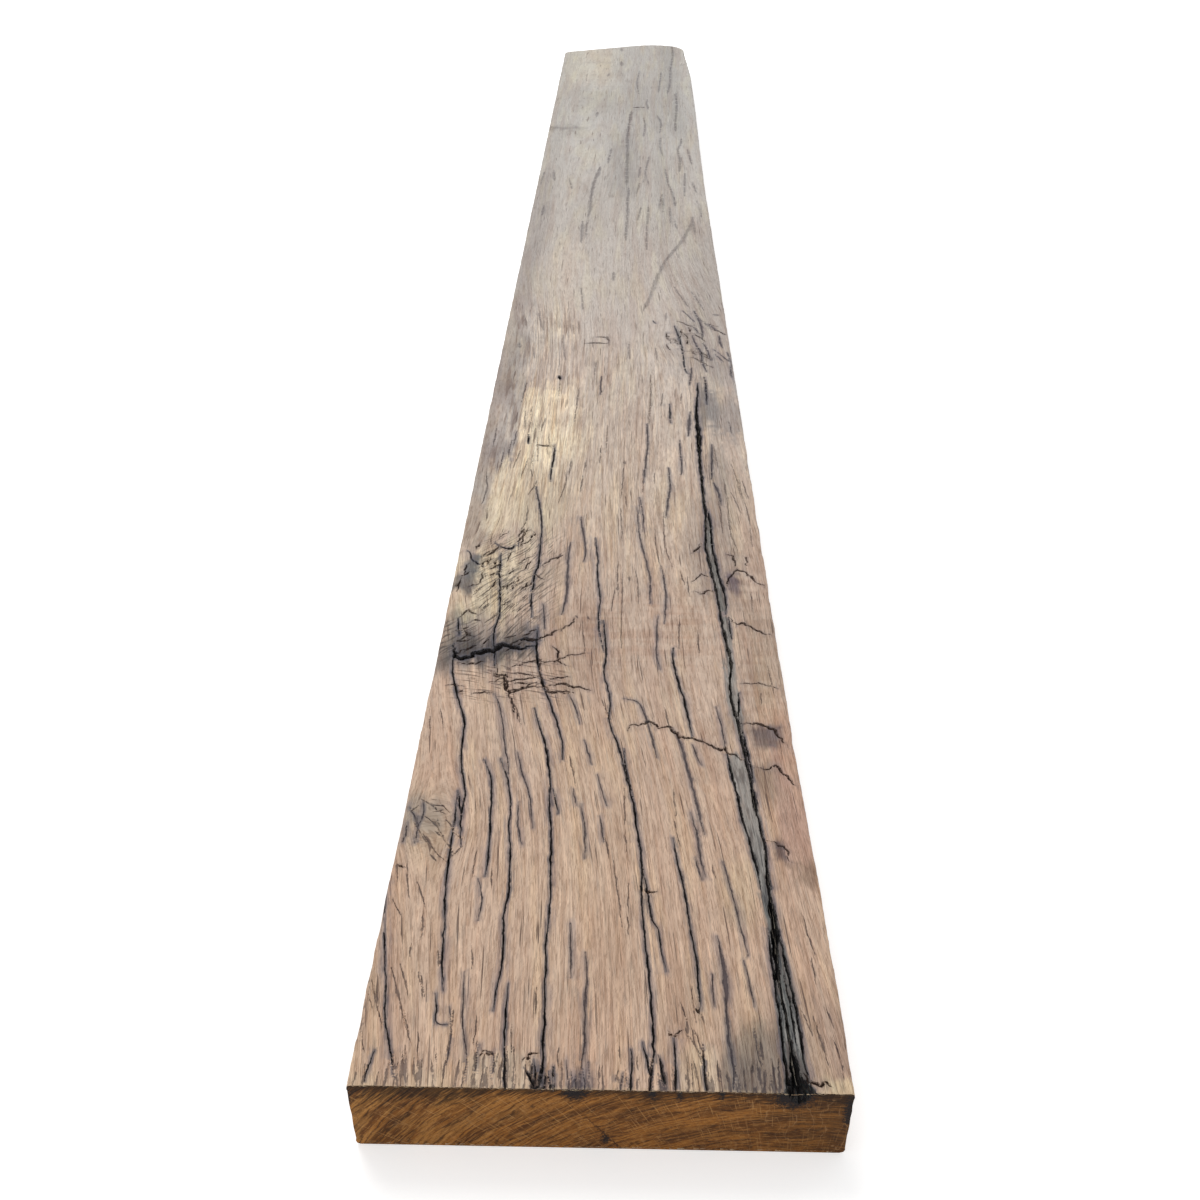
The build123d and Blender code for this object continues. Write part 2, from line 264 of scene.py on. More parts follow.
# %% Shut checks
SHUT_CHECKS = [
    (1.4, [(-18, 101), (-17, 84), (-16.4, 65)]),
    (1.3, [(-118.4, 189.6), (-110.5, 176.2), (-110.4, 165), (-110.3, 159)]),
    (1.2, [(-109.3, 194), (-108.3, 181.4), (-110.5, 171)]),
    (1.9, [(-9, 82, 0.9), (-8, 62), (-8.4, 42), (-7.6, 24), (-9.4, 9)]),
    (1.8, [(61, 94), (62, 82, 2.0), (63.2, 72, 3.2), (63.4, 63, 4.0), (63, 54, 2.2), (62.5, 32), (64, 12),
        (63.2, 2)]), (1.6, [(67, 148, 0.9), (70, 128, 1.1), (73, 104, 1.1), (76, 81, 0.9)]),
    (1.1, [(74, 78), (75.5, 62), (76.5, 49)]), (1.3, [(56.5, 69), (56.8, 60), (56.4, 49)]),
    (2.4, [(41.6, 264, 1.0), (46, 248), (48.5, 235, 2.7), (51, 218), (53, 202, 2.1), (55, 187, 1.8),
        (57.5, 169)]), (2.3, [(50.4, 187, 0.9), (53, 168, 2.0), (54.5, 148), (56.2, 136)]),
    (1.1, [(51, 151), (54, 134)]), (1.1, [(53, 248), (58, 229)]),
    (1.5, [(10, 293), (15, 292.4), (20.3, 291), (24, 276), (27, 260), (31, 235)]),
    (2.8, [(-33.6, 488, 1.0), (-34, 462, 1.8), (-33.8, 440), (-33, 420), (-34, 404, 2.0), (-35.5, 389)]),
    (1.8, [(-26.4, 527), (-24, 506, 2.6), (-21.6, 486), (-20, 469), (-22, 460)]),
    (1.2, [(-76, 297), (-71, 282), (-68, 265), (-66, 248), (-62, 230), (-60.5, 218)]),
    (1.2, [(-56.5, 238), (-52, 218), (-45.5, 197), (-43, 172, 0.8)]),
    (1.1, [(-27, 298), (-21, 281), (-18.5, 267)]), (1.1, [(-15, 251), (-9.5, 228)]),
    (1.1, [(-6, 219), (-1, 197), (0, 192)]),
    (1.1, [(-53, 194), (-51.5, 175), (-50, 165, 1.8), (-48.3, 159)]),
    (1.1, [(-15.5, 193), (-12.5, 178), (-11.5, 149)]), (1.0, [(-20.5, 206), (-18, 192)]),
    (1.0, [(-4, 183), (-1, 162)]),
    (1.0, [(-71.5, 68), (-70, 48), (-70, 40), (-67, 27), (-65, 20), (-64, 4)]),
    (1.1, [(-71, 132), (-67, 120), (-67, 110), (-68, 102)]),
    (1.1, [(-76.5, 46), (-74.5, 33), (-73.4, 18), (-74.6, 11)]), (1.2, [(-59.5, 24), (-60.5, 1)]),
    (1.1, [(-51.8, 20), (-51, 1)]), (1.5, [(-117, 176), (-116, 168), (-117, 159)]),
    (1.6, [(-111.5, 181), (-110, 165), (-109, 160)]), (1.3, [(-50, 402), (-48, 385), (-47, 371)]),
    (1.2, [(22, 560, 0.8), (24, 540), (25, 520), (24, 506)]),
    (1.3, [(20, 546, 0.8), (20.5, 520), (21.5, 495), (25.3, 468, 1.5), (29, 440), (28.6, 404)]),
    (1.3, [(38, 454), (40.5, 420, 1.6), (40.5, 406), (38.5, 379)]),
    (1.3, [(34, 388), (33, 368, 1.5), (32, 342), (34.6, 325)]), (1.0, [(70.5, 286), (73, 267), (74, 244)]),
    (1.8, [(29, 696), (30, 655, 2.0), (27.4, 620), (26, 600), (25, 580, 1.0)]),
    (1.8, [(47, 612), (47.6, 590), (48, 580), (44.4, 545), (43, 528)]),
    (1.8, [(58.4, 664), (58, 640), (59, 618), (58, 600)]), (2.0, [(87, 656), (85.4, 620, 2.4), (83.2, 592)]),
    (2.6, [(85, 586), (88.6, 566), (89.4, 548)]), (2.0, [(-15, 800), (-15, 768), (-14.6, 758)]),
    (3.0, [(70.5, 722), (68, 700, 4.0), (66.6, 672)]), (2.4, [(75.6, 822), (73.4, 800), (72, 780)]),
    (2.0, [(108, 904), (106.6, 884, 2.6), (109.4, 872)]),
    (2.2, [(84, 972), (87, 955), (90, 930), (91, 905), (89, 895)]), (2.0, [(90, 884), (94, 862), (96, 840)]),
    (2.0, [(79, 905), (82, 880), (88, 858), (86, 836), (90, 812)]),
    (1.8, [(113, 860), (117, 838), (113, 810), (116, 790)]), (2.0, [(38, 944), (41, 936)]),
]

# %% Brown checks
BROWN_CHECKS = [
    (1.0, [(-119.4, 65.6), (-116, 53), (-110.7, 41), (-108, 31)]),
    (0.9, [(-115, 61), (-114.6, 51), (-112, 43)]),
    (1.2, [(-109.4, 70), (-105, 57), (-100.5, 45), (-97, 33), (-92.4, 24)]),
    (0.9, [(-105.4, 72), (-99.8, 58), (-97.7, 51)]), (0.9, [(-94, 66), (-89.6, 52)]),
    (1.6, [(-120, 51), (-118.5, 33), (-118, 25)]), (1.0, [(-102.4, 20), (-98.2, 9), (-95.5, -1)]),
    (0.9, [(-95.5, 23), (-92.4, 7), (-91.8, -1)]), (1.0, [(-90.5, 16), (-86.8, -1)]),
    (1.3, [(-81.7, 15), (-78, -1)]), (1.1, [(-74.3, 44), (-74, 34), (-74.7, 20)]),
    (1.2, [(-60.8, 26), (-60, -1)]), (1.0, [(-57.8, 21), (-54.7, 22), (-51.3, 20), (-50, 15)]),
    (1.0, [(105.7, 44), (108, 28), (110, 15)]), (0.9, [(112.8, 48), (114.8, 37)]),
    (0.9, [(114, 30), (116, 15), (116.5, 8)]), (0.8, [(99.7, 49), (104, 32)]), (1.2, [(45.6, 35), (51, 19)]),
    (1.2, [(76, 35), (76, 25), (78, 12)]), (0.9, [(42.5, 32), (47, 25), (50, 17)]),
    (0.9, [(-120, 62), (-117.5, 49), (-115, 44)]), (1.2, [(-120.4, 41), (-119, 33), (-117.6, 28)]),
    (0.8, [(-118, 28), (-114.5, 19)]), (0.9, [(-101.5, 86), (-101, 77)]), (1.1, [(-98, 108), (-96.5, 89)]),
    (0.9, [(-99, 43), (-96, 33), (-92.5, 23)]), (0.9, [(-95, 67), (-90, 49)]),
    (1.0, [(-95, 16), (-92.5, 0)]), (0.9, [(-90, 31), (-87, 4)]), (1.0, [(-87, 81), (-85, 71)]),
    (1.0, [(-80, 21), (-78.5, 2)]), (0.8, [(-69, 85), (-67.5, 70)]), (0.8, [(-62.5, 41), (-62, 24)]),
    (0.9, [(-44.5, 36), (-43.5, 19)]), (0.9, [(-33.5, 59), (-33, 42)]), (0.9, [(-20.5, 23), (-20.5, 11)]),
    (0.9, [(13, 106), (13.5, 94)]), (0.9, [(9, 25), (10, 15)]), (1.0, [(17.5, 13), (18, 4)]),
    (1.6, [(42.5, 41), (42.5, 30)]), (0.9, [(44.5, 36), (48.5, 16)]), (1.0, [(40, 51), (42, 41)]),
    (0.9, [(50, 44), (51.5, 37)]), (0.9, [(45.5, 61), (47, 39)]), (0.9, [(57, 11), (57.5, 2)]),
    (2.2, [(75.5, 36), (76, 26)]), (1.2, [(78, 31), (79, 9)]), (0.9, [(107.5, 111), (110, 90), (111, 82)]),
    (0.8, [(109, 81), (109.5, 63)]), (1.1, [(117, 101), (119.5, 85)]), (0.9, [(40, 207), (41.5, 184)]),
    (0.9, [(40, 181), (43, 159)]), (0.9, [(60.5, 146), (62, 135)]), (1.0, [(10.5, 207), (11, 176)]),
    (1.0, [(11.2, 172), (12, 154)]), (0.8, [(13, 131), (13.5, 109)]),
    (0.8, [(4.5, 148), (7, 128), (10, 99)]), (0.8, [(0, 165), (2, 149)]),
    (1.0, [(-119.5, 153), (-117.5, 140), (-115.5, 129)]), (0.9, [(-112, 144), (-110, 128), (-107, 117)]),
    (0.9, [(-104, 129), (-97, 110)]), (0.8, [(-116, 116), (-110, 105)]), (0.9, [(-74, 155), (-74, 133)]),
    (0.8, [(-64, 141), (-63, 125)]), (0.9, [(-82, 157), (-85, 151), (-88, 148.6)]),
    (1.0, [(-107.3, 169), (-102.5, 160), (-96.2, 150.4), (-89.8, 144.7)]),
    (0.9, [(-106.8, 181.4), (-100, 174.3), (-97.3, 170.3)]),
    (0.8, [(-103.5, 184.6), (-100, 185.8), (-97, 187)]), (0.9, [(-99.9, 179.5), (-96.8, 172.3)]),
    (0.8, [(-94.6, 178.6), (-87.7, 169.4)]), (1.0, [(-109, 193), (-104.5, 192), (-100, 185.8)]),
    (0.8, [(-95.2, 165.2), (-89.9, 157.4)]), (0.8, [(-99.8, 150.3), (-95.5, 144.6)]),
    (0.8, [(-99.3, 192.2), (-92.3, 183.8)]), (0.9, [(-112.4, 189.8), (-116, 184.4)]),
    (0.8, [(-106.4, 195.2), (-100.3, 194.7)]), (1.1, [(-98.8, 176.4), (-104, 177.3)]),
    (0.8, [(-100, 169.2), (-95.9, 164.8)]), (0.8, [(-90.7, 170.4), (-83.2, 162.5)]),
    (0.8, [(-103, 188), (-95, 183)]), (0.8, [(-113, 176), (-104, 160)]),
    (0.8, [(-112, 196), (-104, 190), (-97, 190)]), (0.7, [(-100, 176), (-92, 160), (-86, 150)]),
    (0.9, [(-110, 280), (-106, 261)]), (0.9, [(-116, 272), (-113.5, 253)]),
    (0.8, [(-66.5, 296), (-60, 280), (-56, 265)]), (0.9, [(-24, 237), (-19.5, 211)]),
    (0.9, [(-5, 293), (1, 269)]), (0.9, [(36.5, 284), (39.5, 263)]), (0.8, [(101, 301), (101, 289)]),
    (0.9, [(108, 331), (110, 301)]), (0.9, [(-20.5, 381), (-17, 339)]), (0.9, [(50, 391), (48, 349)]),
    (0.9, [(62, 371), (62, 344)]), (0.8, [(46.5, 454), (41, 481), (41, 536)]), (0.8, [(52, 448), (55, 429)]),
    (0.8, [(34, 509), (34, 480), (37, 454)]), (0.9, [(57, 441), (58, 414)]),
    (0.9, [(5, 461), (4, 440), (5, 419)]), (2.2, [(4.5, 427), (4.6, 421)]), (0.9, [(2, 421), (0.5, 394)]),
    (0.8, [(8, 446), (8, 400), (7.5, 365), (8, 349)]), (2.0, [(13, 440), (13, 434)]),
    (0.9, [(17.5, 451), (20, 428), (20, 404)]), (0.9, [(95, 562), (94, 540), (95, 509)]),
    (0.9, [(87, 562), (88, 535), (88, 504)]), (1.0, [(110, 512), (110, 484)]),
    (0.8, [(104, 421), (103, 399)]), (1.0, [(6, 542), (7, 510), (8, 489)]), (1.0, [(10, 562), (11, 545)]),
    (1.1, [(8, 622), (8, 595), (6, 559)]), (3.4, [(9, 624), (9, 616)]), (1.3, [(-25, 624), (-25, 610)]),
    (1.0, [(-12, 652), (-13, 619)]), (1.0, [(-27, 596), (-28, 569)]), (1.0, [(-7, 692), (-8, 639)]),
    (1.2, [(31, 718), (31.6, 692)]), (1.2, [(34, 792), (34, 768), (33, 738), (31, 699)]),
    (1.1, [(45, 762), (43, 734)]), (1.1, [(63, 762), (62, 739)]), (1.1, [(35, 602), (34, 584)]),
    (1.2, [(25, 591), (24, 569)]), (1.1, [(94, 592), (94, 559)]),
    (1.2, [(108, 592), (107, 575), (108, 554)]), (1.4, [(105, 702), (106, 679)]),
    (1.1, [(-36, 772), (-38, 699)]), (1.1, [(-55, 782), (-55, 754)]), (1.2, [(-88, 782), (-90, 739)]),
    (1.2, [(-84, 642), (-86, 625), (-88, 609)]), (1.1, [(-65, 706), (-67, 690), (-68, 679)]),
    (1.1, [(-72, 563), (-67, 577), (-66, 586)]), (1.1, [(-80, 592), (-76, 627)]),
    (1.0, [(-73, 607), (-70, 594)]), (1.0, [(-42, 602), (-40, 590), (-44, 563)]),
    (0.9, [(-38, 627), (-39, 599)]), (1.0, [(-41, 582), (-46, 549)]),
    (1.2, [(-109, 546), (-107, 575), (-111, 602)]), (1.1, [(-109, 648), (-109, 684)]),
    (1.6, [(-42, 463), (-39.6, 472)]), (1.6, [(-26, 388), (-23.6, 385)]), (1.8, [(-17, 388), (-15, 383)]),
    (1.0, [(-96, 500), (-97, 488), (-94, 478)]), (1.2, [(-71, 545), (-70, 520), (-73, 508)]),
    (1.3, [(-68, 512), (-70, 500), (-75, 486)]), (1.0, [(-104, 540), (-103, 520)]),
    (1.0, [(-88, 508), (-90, 495)]),
]

# %% Old worn checks of the far half
WORN_CHECKS = [
    (3.0, [(-87, 962), (-83, 935), (-79, 915)]), (2.4, [(-48, 930), (-46, 905)]),
    (2.4, [(12, 880), (13, 842)]), (2.4, [(-21, 832), (-22, 803)]), (2.2, [(40, 870), (41, 840)]),
    (2.4, [(-43, 1040), (-41, 1010), (-39, 975)]), (2.6, [(64, 1046), (70, 1018), (78, 985)]),
    (2.6, [(83, 1030), (90, 1000), (95, 975)]), (7.0, [(-6, 1092), (-6, 1064)]),
    (3.0, [(53, 966), (52, 945)]), (8.0, [(105, 964), (110, 960)]),
    (2.4, [(-58, 902), (-56, 870), (-52, 838)]), (2.4, [(-88, 870), (-84, 842)]),
    (6.0, [(-102, 880), (-101, 868)]),
    (4.0, [(8, 1205), (8, 1250), (10, 1300), (9, 1360), (11, 1400), (11, 1425, 7.0)]),
    (7.0, [(8, 1440), (8, 1500), (9, 1600), (8, 1700), (12, 1790), (15, 1860)]),
    (7.0, [(-31, 1530), (-32, 1500, 9.0), (-38, 1460), (-41, 1380, 6.0), (-40, 1330), (-43, 1290, 4.0)]),
    (4.0, [(-49, 1280), (-48, 1195)]), (3.0, [(-43, 1275), (-43, 1215)]), (5.0, [(-16, 1630), (-20, 1545)]),
    (3.6, [(42, 1590), (37, 1530), (32, 1450)]), (3.6, [(26, 1450), (22, 1400)]),
    (3.4, [(28, 1340), (23, 1285)]), (3.6, [(38, 1340), (34, 1240), (34, 1170)]),
    (4.0, [(64, 1520), (66, 1450), (72, 1400), (74, 1340, 6.0)]),
    (4.0, [(93, 1690), (92, 1650), (84, 1630, 5.0), (88, 1570, 6.0), (84, 1500)]),
    (4.0, [(92, 1500), (88, 1390)]), (4.0, [(100, 1625), (104, 1545)]), (3.4, [(104, 1370), (106, 1320)]),
    (3.0, [(58, 1380), (57, 1320)]), (5.0, [(95, 1300), (95, 1262)]), (4.0, [(86, 1245), (84, 1225)]),
    (5.0, [(-98, 1510), (-95, 1460)]), (6.0, [(-103, 1345), (-103, 1300)]),
    (4.0, [(-74, 1470), (-68, 1420)]), (4.0, [(-112, 1500), (-113, 1440)]),
    (6.0, [(96, 2404), (97, 2330), (94, 2260), (88, 2180), (85, 2060), (78, 1985)]),
    (6.0, [(93, 1990), (92, 1900), (87, 1800), (85, 1730)]), (9.0, [(-6, 2372), (-5, 2335)]),
    (10.0, [(-5, 2245), (-4, 2205)]), (9.0, [(-26, 2150), (-29, 2115)]), (7.0, [(-42, 1850), (-43, 1820)]),
    (5.0, [(43, 1870), (40, 1905), (42, 1940)]), (4.0, [(58, 1830), (64, 1780), (60, 1720)]),
    (4.0, [(34, 1820), (38, 1770), (34, 1700)]), (4.0, [(60, 1690), (58, 1640), (62, 1590)]),
    (4.0, [(70, 2150), (66, 2060), (62, 1990)]), (4.0, [(30, 2160), (24, 2060), (28, 1980)]),
]

# A strap or a rope wore one long groove across the far half, at a slant to the grain.
RUBBED = [
    (6.0, [(28, 972), (33, 998), (39, 1030), (42, 1060), (48, 1092), (55, 1130), (66, 1165), (75, 1190),
        (84, 1230), (94, 1275), (96, 1300)]),
]

# %% [markdown]
# ## The long split, and what crosses the grain
# One split runs out of the sawn end and up a third of the board. Its mouth changes all the way,
# so each of its points has its own. Between its two lips lies a grey sliver of sunken wood.
# Where the fibres failed across the grain the break is short, jagged and stepped. The widest of
# them is nearly black.

# %% The split and its slivers
SPLIT = [
    (94.5, -2, 12.5), (94.5, 2, 11.5), (94.2, 6, 8.5), (93.5, 12, 5.5), (93.2, 20, 3.0), (92.7, 30, 1.9),
    (92.2, 42, 1.5), (91.6, 52, 1.8), (90.9, 62, 2.0), (90.4, 72, 2.2), (90.6, 84, 2.9), (91.4, 94, 3.8),
    (91.8, 104, 4.4), (91.4, 113, 3.2), (90.8, 122, 2.0), (91, 133, 1.7), (91.7, 145, 1.5), (92, 162, 1.5),
    (90.5, 172, 1.7), (89.5, 185, 1.7), (88.7, 200, 2.4), (88, 213, 2.1), (87, 226, 2.2), (86, 240, 1.7),
    (84.7, 255, 1.6), (84, 264, 1.8), (84.6, 272, 3.2), (82.3, 279, 1.8), (81.2, 292, 1.7), (81, 307, 1.6),
    (82.3, 322, 1.9), (83.5, 334, 2.4), (82.8, 348, 2.5), (81.3, 362, 2.3), (80.2, 375, 2.1),
    (79.6, 388, 1.9), (79.5, 396, 1.6), (78.7, 410, 1.9), (78, 422, 1.8), (77.6, 432, 1.8), (76.3, 442, 1.9),
    (75.5, 456, 1.8), (74, 470, 1.8), (72.8, 484, 1.9), (74.2, 500, 1.6), (75, 520, 1.7), (75.6, 540, 1.9),
    (75, 565, 2.0), (75, 590, 2.1), (75, 620, 2.4), (75.3, 650, 3.4), (76.2, 668, 4.2), (75.8, 690, 3.6),
    (75.5, 715, 2.4), (76.5, 735, 2.0), (78.5, 758, 1.5), (80, 786, 1.2),
]
SPLIT_BRANCHES = [
    (1.4, [(88.6, 100, 0.8), (88.2, 82), (88.6, 60), (89, 40), (88.6, 22, 1.8), (89.4, 8, 2.6),
        (90, -2, 3.0)]),
    (1.6, [(99.4, 8, 2.0), (98.2, 18), (98, 35), (97.4, 52), (95.8, 72), (94.8, 86), (93.6, 98)]),
    (1.1, [(96, 24), (95.6, 40), (94.6, 58), (93.6, 70)]),
    (1.7, [(86.8, 128), (85.7, 142), (84.6, 155), (82.9, 168), (80.8, 179), (79.6, 192), (79, 203),
        (77.4, 214), (76, 226), (75, 236), (74.5, 244)]),
    (1.0, [(89.3, 214), (88.8, 228), (87.8, 244), (86.6, 258), (85.4, 270)]),
    (1.3, [(85, 274), (85.6, 288), (86.3, 301)]),
    (1.0, [(86, 362), (85.3, 376), (84.9, 388)]),
    (1.9, [(83.4, 392, 1.0), (84.6, 410), (84, 422), (82.6, 433), (81.2, 443), (80.6, 456), (79.6, 468),
        (78.3, 480), (78.6, 500), (79, 520), (77.5, 542)]),
    (1.0, [(92.8, 128), (91.6, 141), (91, 152)]),
]
# Each point of a sliver is x, y and its width there.
SLIVERS = [
    [(94, -1, 15), (94, 12, 12), (93.6, 30, 10.5), (92.8, 60, 9), (91.8, 90, 7), (90.5, 108, 6),
     (89.5, 120, 6.5), (88.5, 140, 7.5), (87, 160, 9), (85.5, 178, 10.5), (84.3, 195, 10.5), (82.8, 212, 11),
     (81, 228, 11), (79.5, 238, 7)],
    [(84.6, 256, 4), (84, 275, 7), (82.3, 292, 8), (82, 310, 8), (82.3, 330, 7), (82.8, 352, 6),
     (82.6, 372, 5.5), (82.2, 388, 5)],
    [(81.3, 398, 5.5), (80.8, 420, 6), (79.3, 440, 5.5), (78, 460, 5.5), (76, 482, 5.5), (76.5, 505, 5.0),
     (77, 530, 4)],
]

# %% Breaks across the grain
CROSS_BREAKS = [
    (1.3, [(12, 261), (15, 266), (18, 267), (20, 265), (24, 269), (28, 268.5), (31, 265), (35, 263.5),
        (39, 264), (42, 260), (46, 256), (49, 254), (54, 255.5), (57, 253.5), (60, 250), (65, 247),
        (70, 243), (74, 246), (74.6, 241), (80, 239), (82, 236), (84, 234)]),
    (1.5, [(85, 271), (88, 270), (92, 269), (94, 271), (97, 269.5), (100, 267), (103, 265), (106, 263),
        (109, 257), (113, 249), (117, 241)]),
    (1.4, [(-80, 321), (-78.5, 315), (-75, 314.5), (-71, 316.5), (-70, 311), (-67.5, 300), (-64, 299),
        (-61, 300.5), (-56, 304), (-51, 309), (-46, 311)]),
    (0.8, [(-79.8, 334), (-76, 317), (-70, 316), (-69.7, 301), (-59, 301.4), (-44, 309)]),
    (0.9, [(-51.8, 350), (-45.7, 310), (-38, 299), (-23.5, 299)]),
    (0.7, [(-74, 319), (-66, 295), (-58, 268)]), (0.9, [(-48.6, 328), (-32, 338), (-14, 344)]),
    (1.0, [(-76, 307), (-60, 312), (-46, 316)]), (0.9, [(-69, 325), (-51, 334), (-36, 331)]),
    (1.1, [(-41, 350), (-35, 345), (-36, 335), (-30, 329)]), (0.8, [(88.5, 310), (100, 313), (113, 305)]),
    (1.2, [(-43, 299), (-36, 299.5), (-30, 300.5), (-24, 300)]),
    (1.3, [(-42, 305), (-38, 306), (-33, 308), (-28, 307), (-22, 305), (-12, 302)]),
    (0.9, [(-40, 313), (-33, 315.5), (-27, 316)]), (1.0, [(-36, 370, 1.4), (-47, 361, 1.6), (-52, 357)]),
    (0.9, [(-26, 386), (-28, 377), (-36, 370)]), (1.3, [(-62, 361), (-57, 366), (-52, 371)]),
    (1.6, [(-64, 357), (-59, 360), (-55, 357), (-50, 358)]),
    (1.3, [(86, 425), (88, 437), (92, 448), (96, 450), (101, 448.5), (104, 443), (107, 437), (111, 432),
        (117, 427)]),
    (1.2, [(86, 388), (89, 380), (91, 379), (94, 382), (97, 380), (100, 376), (104, 373), (107, 371),
        (110, 368), (114, 366), (118, 366)]), (1.3, [(89, 472), (93, 470), (94.5, 464), (94, 456)]),
    (1.0, [(102, 471), (103, 464), (104, 457)]),
    (1.0, [(60, 434), (64, 436), (68, 446), (71, 442), (75, 440)]),
    (1.0, [(62, 420), (66, 417), (69, 420), (71, 422), (76, 420)]),
    (1.3, [(62, 474), (65, 479), (67, 483), (70, 488)]),
    (1.5, [(98, 12), (99.6, 8), (102, 5.4), (105, 5), (107, 6.5), (108.6, 3.6)]),
    (1.0, [(-59, 18), (-57, 20), (-54, 20), (-51, 19.5)]), (0.9, [(-37, 15), (-33, 19), (-30, 20)]),
    (1.1, [(33, 33), (36, 32), (38, 34), (40, 35)]), (0.9, [(47, 47), (49.5, 45)]),
    (1.1, [(19, 128), (23.5, 124), (26, 124), (27, 126), (29, 126)]), (0.9, [(-118, 142), (-113, 139)]),
    (1.0, [(-101, 298), (-98, 300.5)]), (1.0, [(-104, 395), (-101, 388)]), (1.2, [(-100, 381), (-94, 381)]),
    (1.8, [(-70, 650), (-62, 652), (-55, 650)]),
    (1.2, [(92, 228), (100, 225), (104, 231), (110, 220), (117, 208)]),
    (0.8, [(93, 166), (96, 165), (99, 162), (102, 161), (104, 155), (106, 148)]),
    (3.0, [(18, 1884), (30, 1887), (44, 1885)]), (1.6, [(-34, 881), (-22, 882), (-10, 883)]),
    (1.4, [(-22, 898), (-10, 899), (-8, 886)]), (1.0, [(-55, 450.6), (-48, 461.4), (-38.7, 468.8)]),
    (0.9, [(-59.4, 441.8), (-50.4, 435)]), (1.0, [(-110.8, 383.3), (-104.6, 392.8), (-96.7, 386.7)]),
    (0.9, [(-72.8, 482.7), (-70.9, 497.7), (-66.7, 509.3)]), (0.9, [(-85, 359.3), (-91.2, 350.3)]),
    (0.9, [(-105.5, 368), (-95.7, 359)]), (0.8, [(-84, 419.3), (-78, 426)]),
    (0.8, [(-80.5, 399.7), (-74.6, 405.7)]), (0.8, [(-86.3, 434.4), (-81.2, 441.4)]),
]
FISSURES = [
    [(-110, 352, 1.5), (-109, 343, 2.5), (-107, 337, 3.2), (-102, 334.5, 4.4), (-97, 336.5, 3.8),
     (-94, 341, 4.8), (-88, 343.5, 6.0), (-83, 344, 4.6), (-79, 347, 3.8), (-76.5, 351, 4.6),
     (-72, 349.5, 3.4), (-66, 347.5, 3.8), (-61, 347, 4.4), (-57, 349.5, 3.6), (-51, 351, 2.2)],
    [(-64, 356, 1.2), (-60, 359.5, 2.6), (-55, 357.5, 3.0), (-49, 358, 1.6)],
    [(-93, 488, 0.7), (-89, 481, 1.3), (-84, 478, 2.0), (-80, 479, 2.2), (-77, 481, 1.4), (-74, 488, 0.7)],
    [(-99, 452, 0.9), (-103, 456, 1.4), (-108, 462, 1.2), (-113, 474, 0.8)],
]
print(len(OPEN_CHECKS), "open,", len(SHUT_CHECKS), "shut,", len(BROWN_CHECKS), "brown,",
      len(WORN_CHECKS), "worn checks")

# %% [markdown]
# ## From routes to grooves
# A check drawn straight from point to point looks ruled. Real ones step from fibre to fibre, swell
# and pinch. So each route is walked in short steps, pushed a quarter of a millimetre to either side
# and given a mouth that varies, and it tapers to nothing where it ends inside the board. Steps are
# shorter near the sawn end, which the eye is close to.

# %% Walking a route
SIDE_WANDER = 0.32  # millimetres that a check strays to either side
RAGGED_WANDER = 1.3  # and a break across the grain
MOUTH_WANDER = 0.4  # share by which a mouth swells and pinches
TAPER = 16.0  # millimetres over which it closes at its ends


def soft_noise(a, b, seed):
    """Smooth noise from -1 to 1 with cells of size 1."""
    table = np.random.default_rng(seed).uniform(-1, 1, (128, 128))
    i, j = np.floor(a).astype(int), np.floor(b).astype(int)
    u, v = a - i, b - j
    u, v = u * u * (3 - 2 * u), v * v * (3 - 2 * v)
    one = table[i % 128, j % 128] * (1 - u) + table[(i + 1) % 128, j % 128] * u
    two = table[i % 128, (j + 1) % 128] * (1 - u) + table[(i + 1) % 128, (j + 1) % 128] * u
    return one * (1 - v) + two * v


def step_at(along):
    """How far apart points stand, by how far they are from the sawn end."""
    return float(np.interp(along, (0, 300, 600, 1200, 2400), (1.4, 1.7, 2.6, 5.0, 8.0)))


def rounded(values, width):
    """Rounds the corners of a route; the width is in steps."""
    reach = int(3 * width) + 1
    bell = np.exp(-(np.arange(-reach, reach + 1) / width) ** 2 / 2)
    return np.convolve(np.pad(values, reach, "reflect", reflect_type="odd"), bell / bell.sum(), "valid")


def walk(points, seed, ragged):
    """Even steps along a route of (x, y, mouth), with the wander of a real check."""
    points = np.asarray(points, float)
    runs = np.hypot(*np.diff(points[:, :2], axis=0).T)
    reach = np.concatenate([[0], np.cumsum(runs)])
    count = max(4, int(reach[-1] / step_at(points[:, 1].mean())) + 1)
    at = np.linspace(0, reach[-1], count)
    x, y, mouth = (np.interp(at, reach, points[:, k]) for k in range(3))
    if not ragged:
        x, y = rounded(x, 2.4), rounded(y, 2.4)
    across = np.gradient(y), -np.gradient(x)
    size = np.hypot(*across) + 1e-9
    across = np.stack([across[0] / size, across[1] / size], 1)
    lane = at * 0 + seed  # each groove reads its own lane of the noise
    if ragged:
        shift = RAGGED_WANDER * (soft_noise(at / 2.8, lane, 11) + 0.4 * soft_noise(at / 1.4, lane, 12))
    else:
        shift = SIDE_WANDER * (soft_noise(at / 5.0, lane, 11) + 0.5 * soft_noise(at / 1.8, lane, 12))
    mouth = mouth * (1 + MOUTH_WANDER * soft_noise(at / 4.5, lane, 13))
    taper = min(TAPER, 0.35 * reach[-1])
    start = np.ones(count) if y[0] < 0 else np.clip(at / taper, 0.1, 1) ** 0.8
    end = np.ones(count) if y[-1] < 0 else np.clip((reach[-1] - at) / taper, 0.1, 1) ** 0.8
    centre = np.stack([x, y], 1) + across * shift[:, None]
    return centre, across, mouth * start * end


